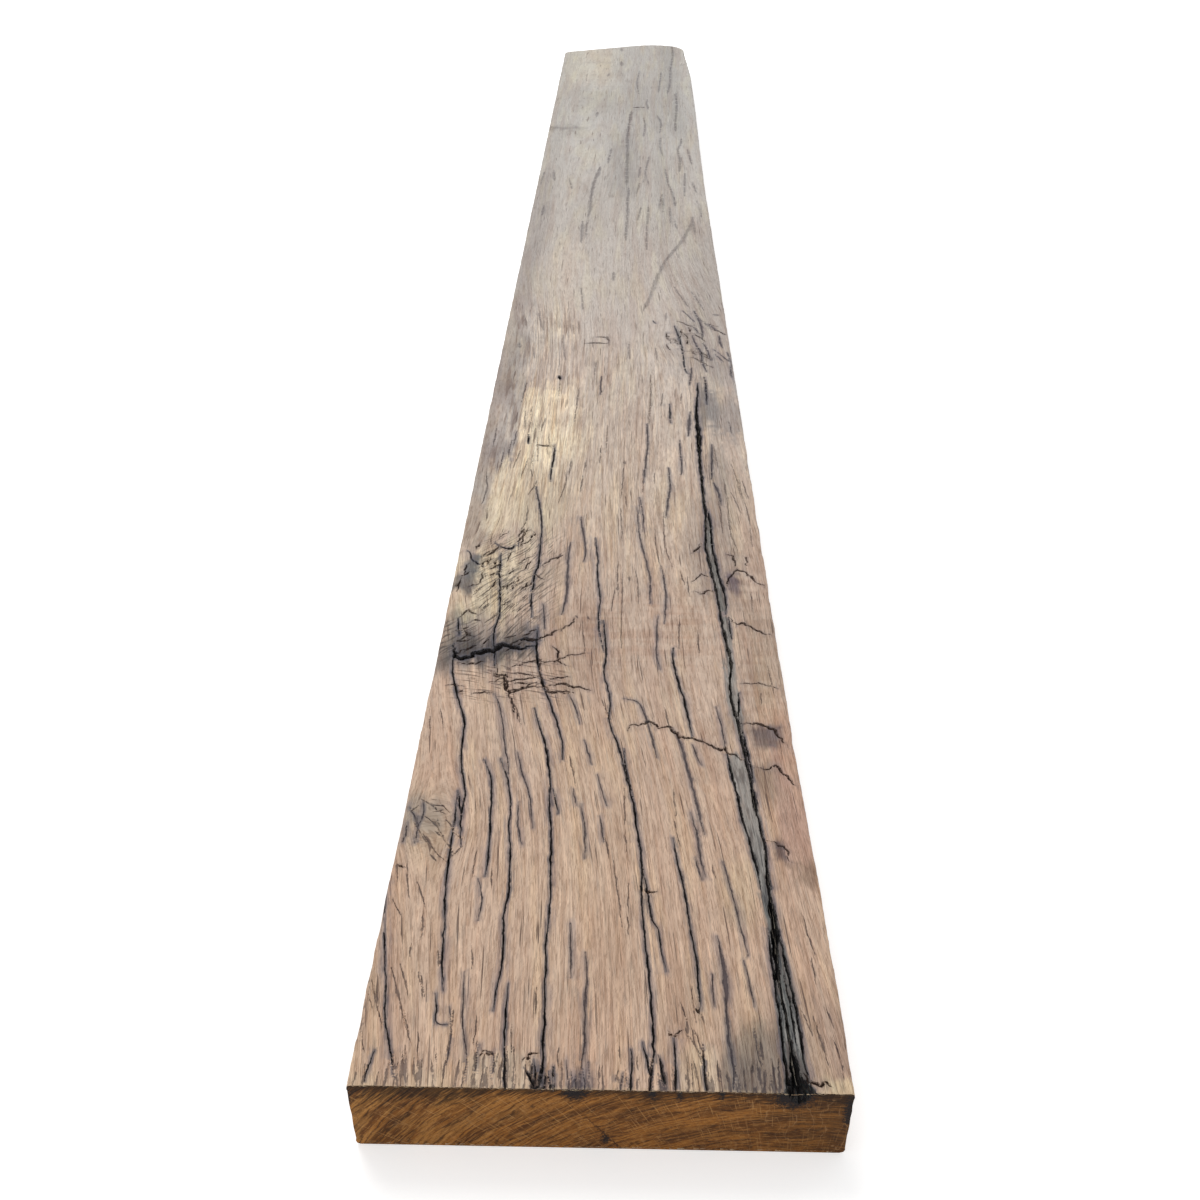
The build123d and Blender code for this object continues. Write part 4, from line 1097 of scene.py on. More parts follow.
# tone, strength, from x, to x, from y, to y, softness across, softness along
PATCHES = [
    # Mostly the near third: warm cream, pinker at the right edge and grey at its knot
    ("#CFB39B", 0.8, -34, 14, 50, 270, 12, 40), ("#BFB0A1", 0.35, 80, 98, 16, 86, 3, 12),
    ("#DCC1AA", 0.7, -25, 3, 60, 230, 8, 30), ("#B9A08A", 0.4, 34, 64, 30, 75, 8, 12),
    # Of the next two patches, the second, #9A8778, is painted shade in and beside the split.
    ("#BCA28F", 0.4, 48, 78, 220, 275, 8, 12), ("#9A8778", 0.5, 78, 92, 256, 282, 3, 6),
    ("#D9BFAA", 0.5, -116, -88, 205, 262, 8, 14), ("#D2B7A1", 0.6, -122, -76, 40, 330, 10, 40),
    ("#A2968A", 0.4, -120, -88, 148, 204, 7, 14), ("#98938F", 0.45, -119, -99, 170, 197, 4, 5),
    ("#8E8174", 0.8, 62, 90, -10, 38, 6, 14), ("#AB9586", 0.6, 97, 124, -10, 60, 6, 20),
    ("#B09C8B", 0.5, 96, 124, 290, 400, 8, 20), ("#B39A88", 0.45, -44, 0, 290, 400, 8, 16),
    ("#B4AFAB", 0.45, 0, 60, 1650, 2380, 16, 60), ("#BC9586", 0.6, 100, 124, 140, 275, 7, 30),
    ("#74604F", 0.5, 108, 119, 130, 149, 3, 4),
    # The dark patch above and below the fissure
    ("#8F857F", 0.75, -122, -86, 322, 398, 9, 10), ("#8F857F", 0.7, -90, -54, 326, 374, 8, 8),
    ("#5A5654", 0.85, -116, -88, 332, 366, 8, 8), ("#5A5654", 0.8, -92, -60, 332, 354, 6, 6),
    # The middle knot, with its dark rim and pale wood about it
    ("#62626A", 0.75, -61, -49, 352, 384, 3, 6), ("#B4A594", 0.5, -68, -40, 420, 448, 6, 8),
    ("#7E7974", 0.6, -112, -102, 376, 396, 3, 5), ("#D8C9B4", 0.5, -70, -52, 474, 550, 6, 14),
    ("#DFD0B2", 0.7, -108, -72, 386, 478, 6, 14), ("#6E6B69", 0.85, -124, -103, 422, 442, 2, 4),
    ("#5F6368", 0.85, -113, -101, 438, 466, 2, 3), ("#D9C7B0", 0.8, -121, -113, 446, 464, 2, 4),
    # Above that knot: a grey left edge, and two bands of cream
    ("#A3978C", 0.6, -124, -96, 476, 560, 6, 14), ("#E6D8C0", 0.9, -106, -76, 500, 612, 8, 14),
    ("#D6C8AE", 0.5, -76, -40, 500, 620, 8, 20), ("#AFA69F", 0.9, -130, -106, 548, 618, 4, 10),
    ("#ADA49F", 0.95, -130, -88, 612, 775, 3, 9), ("#BFB5AC", 0.6, -124, -96, 662, 724, 6, 12),
    ("#F2E4CC", 0.95, -86, -50, 608, 768, 4, 10), ("#EBDDC8", 0.85, -54, -34, 630, 790, 5, 20),
    ("#9C938F", 0.5, -120, -90, 612, 644, 5, 7), ("#A39B96", 0.9, -130, -90, 790, 900, 8, 12),
    ("#A39A95", 0.9, -130, -90, 755, 805, 3, 6),
    # The far half and both edges, mostly grey
    ("#A9A49D", 0.6, -84, -10, 1850, 2020, 12, 60), ("#ADA8A2", 0.5, -100, -60, 1690, 1775, 10, 20),
    ("#ADA59F", 0.6, 84, 124, 940, 1300, 10, 50), ("#ABA39E", 0.85, -130, -96, 880, 1500, 6, 60),
    ("#CFC2B4", 0.6, -84, -50, 880, 1180, 8, 50),
    # The strip to the right of the split, the right knot and the wood behind it
    ("#9F9188", 0.6, 60, 98, 400, 560, 8, 20), ("#AB8F86", 0.6, 86, 97, 416, 446, 3, 6),
    ("#9D9590", 0.5, 78, 100, 555, 650, 4, 12), ("#8E8A89", 0.85, 78, 96, 690, 776, 3, 8),
    ("#B8B1AC", 0.7, 96, 124, 764, 840, 4, 10), ("#ABA4A0", 0.8, 94, 124, 676, 745, 5, 14),
    ("#A59D98", 0.4, 52, 124, 800, 950, 12, 30),
    # The worn far half, pale and grey by turns
    ("#C2BDB7", 0.4, 36, 84, 1300, 1500, 12, 40), ("#ADA49D", 0.35, -60, -20, 1200, 1480, 10, 60),
    ("#A5A09C", 0.7, -16, 24, 1380, 1720, 8, 60), ("#989390", 0.9, -128, -66, 1732, 1754, 8, 5),
    ("#C9C2B2", 0.5, -110, -16, 2060, 2370, 14, 60), ("#A19E9B", 0.5, 72, 104, 1700, 2380, 10, 80),
    ("#C6C2BD", 0.4, 40, 76, 1560, 1740, 10, 50), ("#A39E9A", 0.35, -4, 44, 1830, 2060, 10, 50),
    ("#ABA7A1", 0.4, -20, 6, 2120, 2230, 8, 40),
    # Small spots on the right strip, and black wood at the fissure. The first spot, #675E62, is a painted
    # shadow: the shade of the stepped break across the grain there.
    ("#675E62", 0.85, 91, 110, 246, 267, 3, 3), ("#66585A", 0.85, 96, 104, 150, 164, 2, 3),
    ("#71676E", 0.85, 86, 97, 418, 446, 2, 5), ("#8F7E70", 0.6, 92, 106, 200, 236, 4, 8),
    ("#D3BE9C", 0.4, 66, 84, 100, 150, 6, 14), ("#413E3D", 0.75, -108, -80, 336, 352, 5, 5),
    ("#46423F", 0.6, -80, -54, 342, 358, 5, 4),
    # The bruised, stained and torn wood along the saw cut
    ("#9B8D80", 0.9, 60, 87, -9, 33, 4, 8), ("#7D7470", 0.5, 64, 76, -9, 22, 2, 6),
    ("#DECAB0", 0.6, -64, -38, -9, 20, 3, 4), ("#DECAB0", 0.7, -38, -33, -9, 16, 1.5, 3),
    ("#DECAB0", 0.6, 34, 57, -9, 24, 3, 4), ("#D8C2A8", 0.4, -118, -70, -9, 9, 4, 3),
    ("#5E5047", 0.6, -33, -26, -9, 13, 1.2, 3), ("#8A8082", 0.7, -15, -3, -9, 13, 2, 4),
    ("#E6D2B0", 0.8, 107, 125, -9, 8, 2, 2),
]


def soft_step(value, edge, softness):
    """0 before the edge and 1 after it, eased over the softness."""
    t = np.clip((value - edge) / softness + 0.5, 0, 1)
    return t * t * (3 - 2 * t)


def patch(x, y, x0, x1, y0, y1, soft_x, soft_y):
    """1 inside a soft patch of the board, 0 outside."""
    return (soft_step(x, x0, soft_x) * (1 - soft_step(x, x1, soft_x))
            * soft_step(y, y0, soft_y) * (1 - soft_step(y, y1, soft_y)))


def tones(x, y, z):
    """The wood's colour at places on the board, in linear light, with painted shade in two patches by the
    split.
    """
    number = grain_across(x, y)
    on_face = soft_step(z, THICKNESS - 4 + 3 * soft_noise(y / 12, x / 12, 65), 6)[:, None]
    across = x + 4.5 * soft_noise(number / 5, y / 30, 61) + 2.2 * soft_noise(number / 1.7, y / 12, 62)
    ragged = np.interp(y, (200, 520), (7, 20))
    along = y + ragged * soft_noise(number / 3.4, y / 70, 63)
    along = along + 0.5 * ragged * soft_noise(number / 1.5, y / 34, 64)
    marks = [mark for mark, _ in ALONG_TONES]
    plain = np.array([linear(text)[:3] for _, text in ALONG_TONES])
    tone = np.stack([np.interp(along, marks, plain[:, k]) for k in range(3)], 1)
    for text, strength, x0, x1, y0, y1, soft_x, soft_y in PATCHES:
        at_x = x + (across - x) * min(1, soft_x / 4)  # a small, sharp patch keeps its shape
        at_y = y + (along - y) * min(1, soft_y / 8)
        share = patch(at_x, at_y, x0, x1, y0, y1, soft_x * 2, soft_y * 2)[:, None]
        share = share * strength * on_face
        tone = tone * (1 - share) + np.array(linear(text)[:3]) * share
    side = tone * (0.80, 0.78, 0.77) * (0.94 + 0.1 * soft_noise(y / 60, z / 9, 66)[:, None])
    return tone * on_face + side * (1 - on_face)


# %% Attributes on the skin
x, y, z = every.T
count = len(every)
number = grain_across(x, y)
on_top = np.flatnonzero(z > THICKNESS - 22)
lip = np.full(count, 8.0)  # millimetres to the nearest lip of a groove, below 0 inside it
force = np.zeros(count)  # how strongly that groove's line shows
iron = np.zeros(count)  # how much iron has stained it
for k in on_top:
    for place, root, gap in root_tree.find_range((x[k], y[k], 0), SEARCH_REACH):
        to_lip = gap - root_mouth[root] / 2
        if to_lip < lip[k]:
            lip[k] = to_lip
            force[k], iron[k] = root_kind[root, 1:3]
sliver = np.zeros(count)
sliver[on_top] = in_sliver(x[on_top], y[on_top])

# Breaks slant both ways at the near knot, and to the right at the middle one and the fissure. A
# ladder of steps lies before the fissure, ripples beside it, and corduroy where the brush ate
# deepest between the years.
hatch_left = 0.3 * np.exp(-(((x + 104) / 17) ** 2 + ((y - 174) / 27) ** 2) ** 1.5)
hatch_right = np.maximum(0.9 * patch(x, y, -100, -42, 380, 498, 26, 36),
                         patch(x, y, -124, -50, 334, 380, 16, 16))
ladder = 0.9 * patch(x, y, -104, -30, 288, 334, 16, 14)
ripple = np.maximum(patch(x, y, -30, 74, 318, 410, 30, 40),
                    0.7 * patch(x, y, 88, 124, 230, 480, 12, 40))
corduroy = np.maximum(patch(x, y, -112, -40, 560, 980, 16, 60),
                      0.6 * patch(x, y, -50, 90, 440, 880, 30, 90)) * (z > THICKNESS - 8)
softness = np.interp(y, (0, 500, 1000, 1500), (0, 0.2, 0.6, 0.75))  # old wear blurs the far half
ATTRIBUTE_FIELDS = {"FLOAT": "value", "FLOAT_VECTOR": "vector", "FLOAT_COLOR": "color"}


def put(name, kind, values):
    """Writes one attribute on the board's points."""
    made = mesh.attributes.new(name, kind, "POINT")
    made.data.foreach_set(ATTRIBUTE_FIELDS[kind], np.asarray(values, np.float32).ravel())


put("grain", "FLOAT_VECTOR", np.column_stack([number, y, z]))
put("tone", "FLOAT_COLOR", np.column_stack([tones(x, y, z), np.ones(count)]))
ripple = np.maximum(ripple * (z > 20), 0.9 * (z < 0.5))  # the underside is rippled all over
for figure_part in (hatch_left, hatch_right, ladder):
    figure_part *= z > THICKNESS - 8
put("corduroy", "FLOAT", corduroy)
put("lip", "FLOAT_VECTOR", np.column_stack([lip, force, iron]))
put("figure", "FLOAT_VECTOR", np.column_stack([hatch_left, hatch_right, ripple]))
put("ageing", "FLOAT_VECTOR", np.column_stack([sliver, softness, ladder]))
print("deepest inside a groove:", lip.min().round(2), "mm")

# %% [markdown]
# ## Weathered, brushed oak
# Oak that has stood outdoors turns from brown to a pinkish grey, and a wire brush then takes the
# soft wood from between the hard lines. What the eye gets is a dry, matt face with thousands of
# fine dark pores along the grain, pale and dark streaks 2 to 3 mm wide, and blue-black iron stain
# beside each check. Real pores are a third of a millimetre wide and up to 10 mm long. They are
# drawn half a millimetre wide, because at their real width the picture would lose them.

# %% Patterns and stains
SMOOTH = {"interpolation_type": "SMOOTHSTEP"}


def dashes(tree, place, size, marks, shift=0.0, detail=2.0):
    """Marks that lie along the grain: 0 between them and 1 inside.

    The size is their width and length in millimetres. The two marks say where on the noise the
    soft edge starts and ends: nearer 0.7 gives fewer dashes, closer together gives crisper ones.
    """
    width, length = size
    stretched = node(tree, "ShaderNodeMapping", Vector=place, Location=(shift, shift * 0.37, shift * 1.7),
                     Scale=(1 / width, 1 / length, 1 / width))
    cloud = node(tree, "ShaderNodeTexNoise", Vector=stretched, Scale=1.0, Detail=detail)
    return node(tree, "ShaderNodeMapRange", SMOOTH, Value=cloud, From_Min=marks[0], From_Max=marks[1])


def frayed(tree, gap, place, size, amount, shift):
    """A distance in millimetres, pushed in and out along the grain by up to the amount."""
    uneven = dashes(tree, place, size, (0.25, 0.75), shift)
    push = node(tree, "ShaderNodeMapRange", Value=uneven, To_Min=-amount, To_Max=amount)
    return node(tree, "ShaderNodeMath", {"operation": "ADD"}, _0=gap, _1=push)


def product(tree, shares):
    """The product of some shares."""
    share = shares[0]
    for other in shares[1:]:
        share = node(tree, "ShaderNodeMath", {"operation": "MULTIPLY"}, _0=share, _1=other)
    return share


def stain(tree, wood, text, *shares):
    """Stains the wood towards a hex colour, by the product of the shares."""
    share = product(tree, shares)
    return node(tree, "ShaderNodeMix", {"data_type": "RGBA"}, 2, _0=share, _6=wood, _7=linear(text))


def shade(tree, wood, factors, *shares):
    """Multiplies the wood by factors for red, green and blue, by the product of the shares."""
    share = product(tree, shares)
    return node(tree, "ShaderNodeMix", {"data_type": "RGBA", "blend_type": "MULTIPLY"}, 2, _0=share,
                _6=wood, _7=(*factors, 1.0))


def three_of(tree, name):
    """The three numbers that the skin remembers under a name."""
    packed = node(tree, "ShaderNodeAttribute", {"attribute_name": name}, "Vector")
    return node(tree, "ShaderNodeSeparateXYZ", Vector=packed).node.outputs


# %% The grain of the weathered face
oak, tree = new_material("weathered_brushed_oak")
grain = node(tree, "ShaderNodeAttribute", {"attribute_name": "grain"}, "Vector")
wood = node(tree, "ShaderNodeAttribute", {"attribute_name": "tone"}, "Color")
lean_left_at, lean_right_at, ripple_at = three_of(tree, "figure")
sliver_at, soft_at, ladder_at = three_of(tree, "ageing")
crisp = node(tree, "ShaderNodeMath", {"operation": "SUBTRACT"}, _0=1.0, _1=soft_at)

# Broad drifts of pink, cream and brown come from how deep the weather went.
wood = shade(tree, wood, (0.84, 0.74, 0.70), dashes(tree, grain, (10, 190), (0.46, 0.64), 41.0, 3.0), 0.42)
wood = shade(tree, wood, (1.12, 1.12, 1.02), dashes(tree, grain, (12, 130), (0.48, 0.66), 47.0, 3.0), 0.6)
ripples = dashes(tree, grain, (40, 9), (0.42, 0.62), 57.0)
wood = shade(tree, wood, (0.78, 0.68, 0.64), ripples, ripple_at, 0.5)

# The hard and the soft wood of each year show as streaks, which blur on the worn far half.
streak_fade = node(tree, "ShaderNodeMapRange", Value=soft_at, To_Min=1.0, To_Max=0.5)
streaks = dashes(tree, grain, (2.4, 70), (0.46, 0.66), 17.0, 3.0)
wood = shade(tree, wood, (0.74, 0.67, 0.63), streaks, streak_fade, 0.55)
pale_streaks = dashes(tree, grain, (2.0, 55), (0.5, 0.68), 19.0, 3.0)
wood = shade(tree, wood, (1.24, 1.22, 1.2), pale_streaks, streak_fade, 0.6)

# Where the brush went deepest, hard and soft wood lie side by side like corduroy.
corduroy_at = node(tree, "ShaderNodeAttribute", {"attribute_name": "corduroy"}, "Fac")
cords = dashes(tree, grain, (2.3, 75), (0.52, 0.6), 73.0)
wood = shade(tree, wood, (0.6, 0.53, 0.5), cords, corduroy_at, 0.7)
pale_cords = dashes(tree, grain, (2.0, 60), (0.5, 0.6), 79.0)
wood = shade(tree, wood, (1.26, 1.23, 1.16), pale_cords, corduroy_at, 0.85)

# Flecks 0.85 mm by 22 mm and pores 0.5 mm by 8.5 mm, dark ones with pale ones between them.
flecks = dashes(tree, grain, (0.85, 22), (0.54, 0.65), 5.0)
wood = shade(tree, wood, (0.6, 0.5, 0.45), flecks, crisp, 0.42)
pale_flecks = dashes(tree, grain, (0.8, 20), (0.55, 0.66), 9.0)
wood = shade(tree, wood, (1.25, 1.23, 1.2), pale_flecks, crisp, 0.5)
pores = dashes(tree, grain, (0.5, 8.5), (0.57, 0.64), 0.0, 1.0)
wood = shade(tree, wood, (0.5, 0.4, 0.35), pores, crisp, 0.42)
pale_pores = dashes(tree, grain, (0.5, 7), (0.58, 0.66), 13.0, 1.0)
wood = shade(tree, wood, (1.25, 1.23, 1.21), pale_pores, crisp, 0.4)

# Hair checks too fine for the mesh, in patches.
hair_fade = node(tree, "ShaderNodeMapRange", Value=soft_at, To_Min=0.8, To_Max=0.35)
hairs = dashes(tree, grain, (1.25, 46), (0.655, 0.7), 71.0, 1.0)
hair_patches = dashes(tree, grain, (6, 90), (0.44, 0.54), 93.0, 1.0)
wood = stain(tree, wood, "#5A463F", hairs, hair_patches, hair_fade)

# Round a knot the face breaks into small lozenges, along two slants and straight across.
lean_left, lean_right, lean_across = (
    node(tree, "ShaderNodeVectorRotate", {"rotation_type": "Z_AXIS"}, Vector=grain, Angle=angle)
    for angle in (-0.55, 0.6, -1.3))
breaks_left = dashes(tree, lean_left, (0.9, 9), (0.56, 0.62), 23.0)
breaks_right = dashes(tree, lean_right, (1.1, 13), (0.53, 0.6), 37.0)
breaks_across = dashes(tree, lean_across, (1.6, 14), (0.56, 0.62), 29.0)
wood = stain(tree, wood, "#5E5048", breaks_left, lean_left_at, 0.6)
wood = stain(tree, wood, "#5E5048", breaks_right, lean_left_at, 0.5)
wood = stain(tree, wood, "#4D4743", breaks_right, lean_right_at, 0.75)
wood = stain(tree, wood, "#5A473E", breaks_across, ladder_at, 0.7)

# %% Iron stain and the dark of the checks
lip_at, force_at, iron_at = three_of(tree, "lip")
fringe_at = frayed(tree, lip_at, grain, (0.9, 10), 0.7, 5.0)
wide_fringe_at = frayed(tree, lip_at, grain, (2.2, 30), 1.8, 17.0)

# Iron from the rain turned the wood beside an open check mauve, and close to its lip slate blue.
mauve = node(tree, "ShaderNodeMapRange", SMOOTH, Value=wide_fringe_at, From_Min=3.6, From_Max=0.0)
wood = stain(tree, wood, "#7C757E", mauve, iron_at, force_at, 0.56)
slate_blue = node(tree, "ShaderNodeMapRange", SMOOTH, Value=fringe_at, From_Min=1.5, From_Max=-0.1)
iron_share = node(tree, "ShaderNodeMapRange", SMOOTH, Value=iron_at, From_Min=0.1, From_Max=0.8)
wood = stain(tree, wood, "#4E5059", slate_blue, iron_share, force_at, 0.72)

# The sunken slivers along the split went grey, with dark threads, most of them near the saw cut.
along_at = node(tree, "ShaderNodeSeparateXYZ", Vector=grain, output=1)
inland = node(tree, "ShaderNodeMapRange", SMOOTH, Value=along_at, From_Min=90.0, From_Max=205.0)
sliver_wood = stain(tree, linear("#6C6D6B"), "#A19A93", inland)
farther = node(tree, "ShaderNodeMapRange", SMOOTH, Value=along_at, From_Min=320.0, From_Max=420.0)
sliver_wood = stain(tree, sliver_wood, "#5E5E5B", farther, 0.6)
threads = dashes(tree, grain, (0.8, 26), (0.52, 0.62), 33.0)
sliver_wood = stain(tree, sliver_wood, "#B3AEA8", threads, 0.6)
sliver_dark = node(tree, "ShaderNodeMapRange", Value=inland, To_Min=0.75, To_Max=0.35)
dark_threads = dashes(tree, grain, (1.1, 14), (0.48, 0.6), 35.0)
sliver_wood = stain(tree, sliver_wood, "#35353A", dark_threads, sliver_dark)
sliver_wood = stain(tree, sliver_wood, "#6A5F5A", dashes(tree, grain, (3.0, 22), (0.5, 0.6), 38.0), 0.6)
sliver_edge = dashes(tree, grain, (1.8, 18), (0.2, 0.8), 39.0)
sliver_share = node(tree, "ShaderNodeMath", {"operation": "MULTIPLY_ADD"}, _0=sliver_at, _1=1.5,
                    _2=sliver_edge)
sliver_share = node(tree, "ShaderNodeMapRange", SMOOTH, Value=sliver_share, From_Min=0.5, From_Max=1.9)
wood = node(tree, "ShaderNodeMix", {"data_type": "RGBA"}, 2, _0=sliver_share, _6=wood, _7=sliver_wood)

# Inside a groove it is nearly black where there was iron, and dark brown where there was none: partly real
# iron stain, partly painted shade of the groove's depth.
groove_stain_and_shade = stain(tree, linear("#49342A"), "#17161A", iron_share)
groove_stain_and_shade = stain(tree, groove_stain_and_shade, "#454C4A", threads, iron_share, 0.4)
groove_stain_and_shade = stain(tree, groove_stain_and_shade, "#5C4A3A", pores, 0.35)
weak = node(tree, "ShaderNodeMapRange", SMOOTH, Value=force_at, From_Min=0.9, From_Max=0.7)
groove_stain_and_shade = stain(tree, groove_stain_and_shade, "#3C373F", weak)
outer_mark = node(tree, "ShaderNodeMapRange", Value=soft_at, To_Min=0.2, To_Max=2.5)
inner_mark = node(tree, "ShaderNodeMapRange", Value=soft_at, To_Min=-0.3, To_Max=-2.3)
near_lip_at = frayed(tree, lip_at, grain, (0.8, 8), 0.4, 3.0)
near_lip_at = frayed(tree, near_lip_at, grain, (1.1, 1.9), 0.35, 6.0)
# Here the groove's stain and painted shade go onto the wood, inside the lip and a little beyond it, farther
# on the worn far half.
inside = node(tree, "ShaderNodeMapRange", SMOOTH, Value=near_lip_at, From_Min=outer_mark,
              From_Max=inner_mark)
inside = node(tree, "ShaderNodeMath", {"operation": "MULTIPLY"}, _0=inside, _1=force_at)
wood = node(tree, "ShaderNodeMix", {"data_type": "RGBA"}, 2, _0=inside, _6=wood, _7=groove_stain_and_shade)

# The saw bruised the last millimetre of the face and left it pale, and that pale line is partly a painted
# highlight along the sharp sawn edge.
edge_pale_and_highlight_at = frayed(tree, along_at, grain, (0.9, 10), 0.9, 7.0)
edge_pale_and_highlight = node(tree, "ShaderNodeMapRange", SMOOTH, Value=edge_pale_and_highlight_at, From_Min=2.1, From_Max=0.6)
sound = node(tree, "ShaderNodeMapRange", SMOOTH, Value=lip_at, From_Min=-0.3, From_Max=0.2)
wood = stain(tree, wood, "#D2B896", edge_pale_and_highlight, sound, 0.35)

# %% The face's relief and shader
# The brush left every dark streak and pore lower than the wood beside it.
relief = node(tree, "ShaderNodeMath", {"operation": "MULTIPLY"}, _0=pores, _1=-0.4)
for pattern, depth in ((flecks, -0.4), (streaks, -0.4), (cords, -0.3), (hairs, -0.5),
                       (breaks_right, -0.3), (breaks_left, -0.2)):
    relief = node(tree, "ShaderNodeMath", {"operation": "MULTIPLY_ADD"}, _0=pattern, _1=depth, _2=relief)
bump = node(tree, "ShaderNodeBump", Strength=0.8, Distance=0.0005, Height=relief)
shader = node(tree, "ShaderNodeBsdfPrincipled", Base_Color=wood, Roughness=0.86, IOR=1.45, Normal=bump,
              Specular_IOR_Level=0.22)
node(tree, "ShaderNodeOutputMaterial", Surface=shader)
print(len(tree.nodes), "nodes in the weathered face")

# %% [markdown]
# ## The fresh saw cut
# The sawn end shows the oak's own brown again. Year rings curve round a pith far below the board's
# right side, pale rays cross them, and the weather's grey has soaked in from the top, deepest at
# the checks. The pattern is drawn in rings and rays: how far each place is from the pith, and in
# which direction. The old far end is the same wood under a veil of weathered grey.

# %% Places in the tree
PITH = (100.0, -135.0)  # x and height of the tree's middle
RAY_CIRCLE = 180.0  # angles are measured in millimetres on this circle
RAY_CHECK = 105.5  # where the one drying check stands on it
from_pith_x, from_pith_z = x - PITH[0], z - PITH[1]
put("rings", "FLOAT_VECTOR", np.column_stack([
    np.arctan2(from_pith_x, from_pith_z) * RAY_CIRCLE, np.hypot(from_pith_x, from_pith_z), y]))

# How deep the grey has soaked in, from place to place: x, millimetres
CRUST = [(-120, 7), (-104, 10), (-84, 12), (-62, 9), (-50, 5.5), (-20, 5), (-12, 8), (-4, 5), (20, 6),
         (26, 9), (34, 6.5), (56, 7), (62, 5.5), (84, 6), (92, 13), (100, 7), (112, 8), (121, 13)]
crust_x = [mark for mark, _ in CRUST]
crust_deep = [deep for _, deep in CRUST]
crust = np.clip(1 - (THICKNESS - z) / np.interp(x, crust_x, crust_deep), -1, 1)
# Black stains: x, height, half their width and half their height
BLOTS = [(-12, 45, 7, 6), (92, 44, 11, 9), (25, 46, 2, 7), (38, 46, 1.6, 8), (58, 46, 1.6, 7),
         (2.5, 8, 2.2, 5), (119, 34, 3, 14), (-121, 40, 2, 8)]
blot = np.zeros(count)
for blot_x, blot_z, wide, tall in BLOTS:
    blot = np.maximum(blot, np.exp(-((x - blot_x) / wide) ** 2 - ((z - blot_z) / tall) ** 2))
put("end_stain", "FLOAT_VECTOR", np.column_stack([crust, blot, x]))

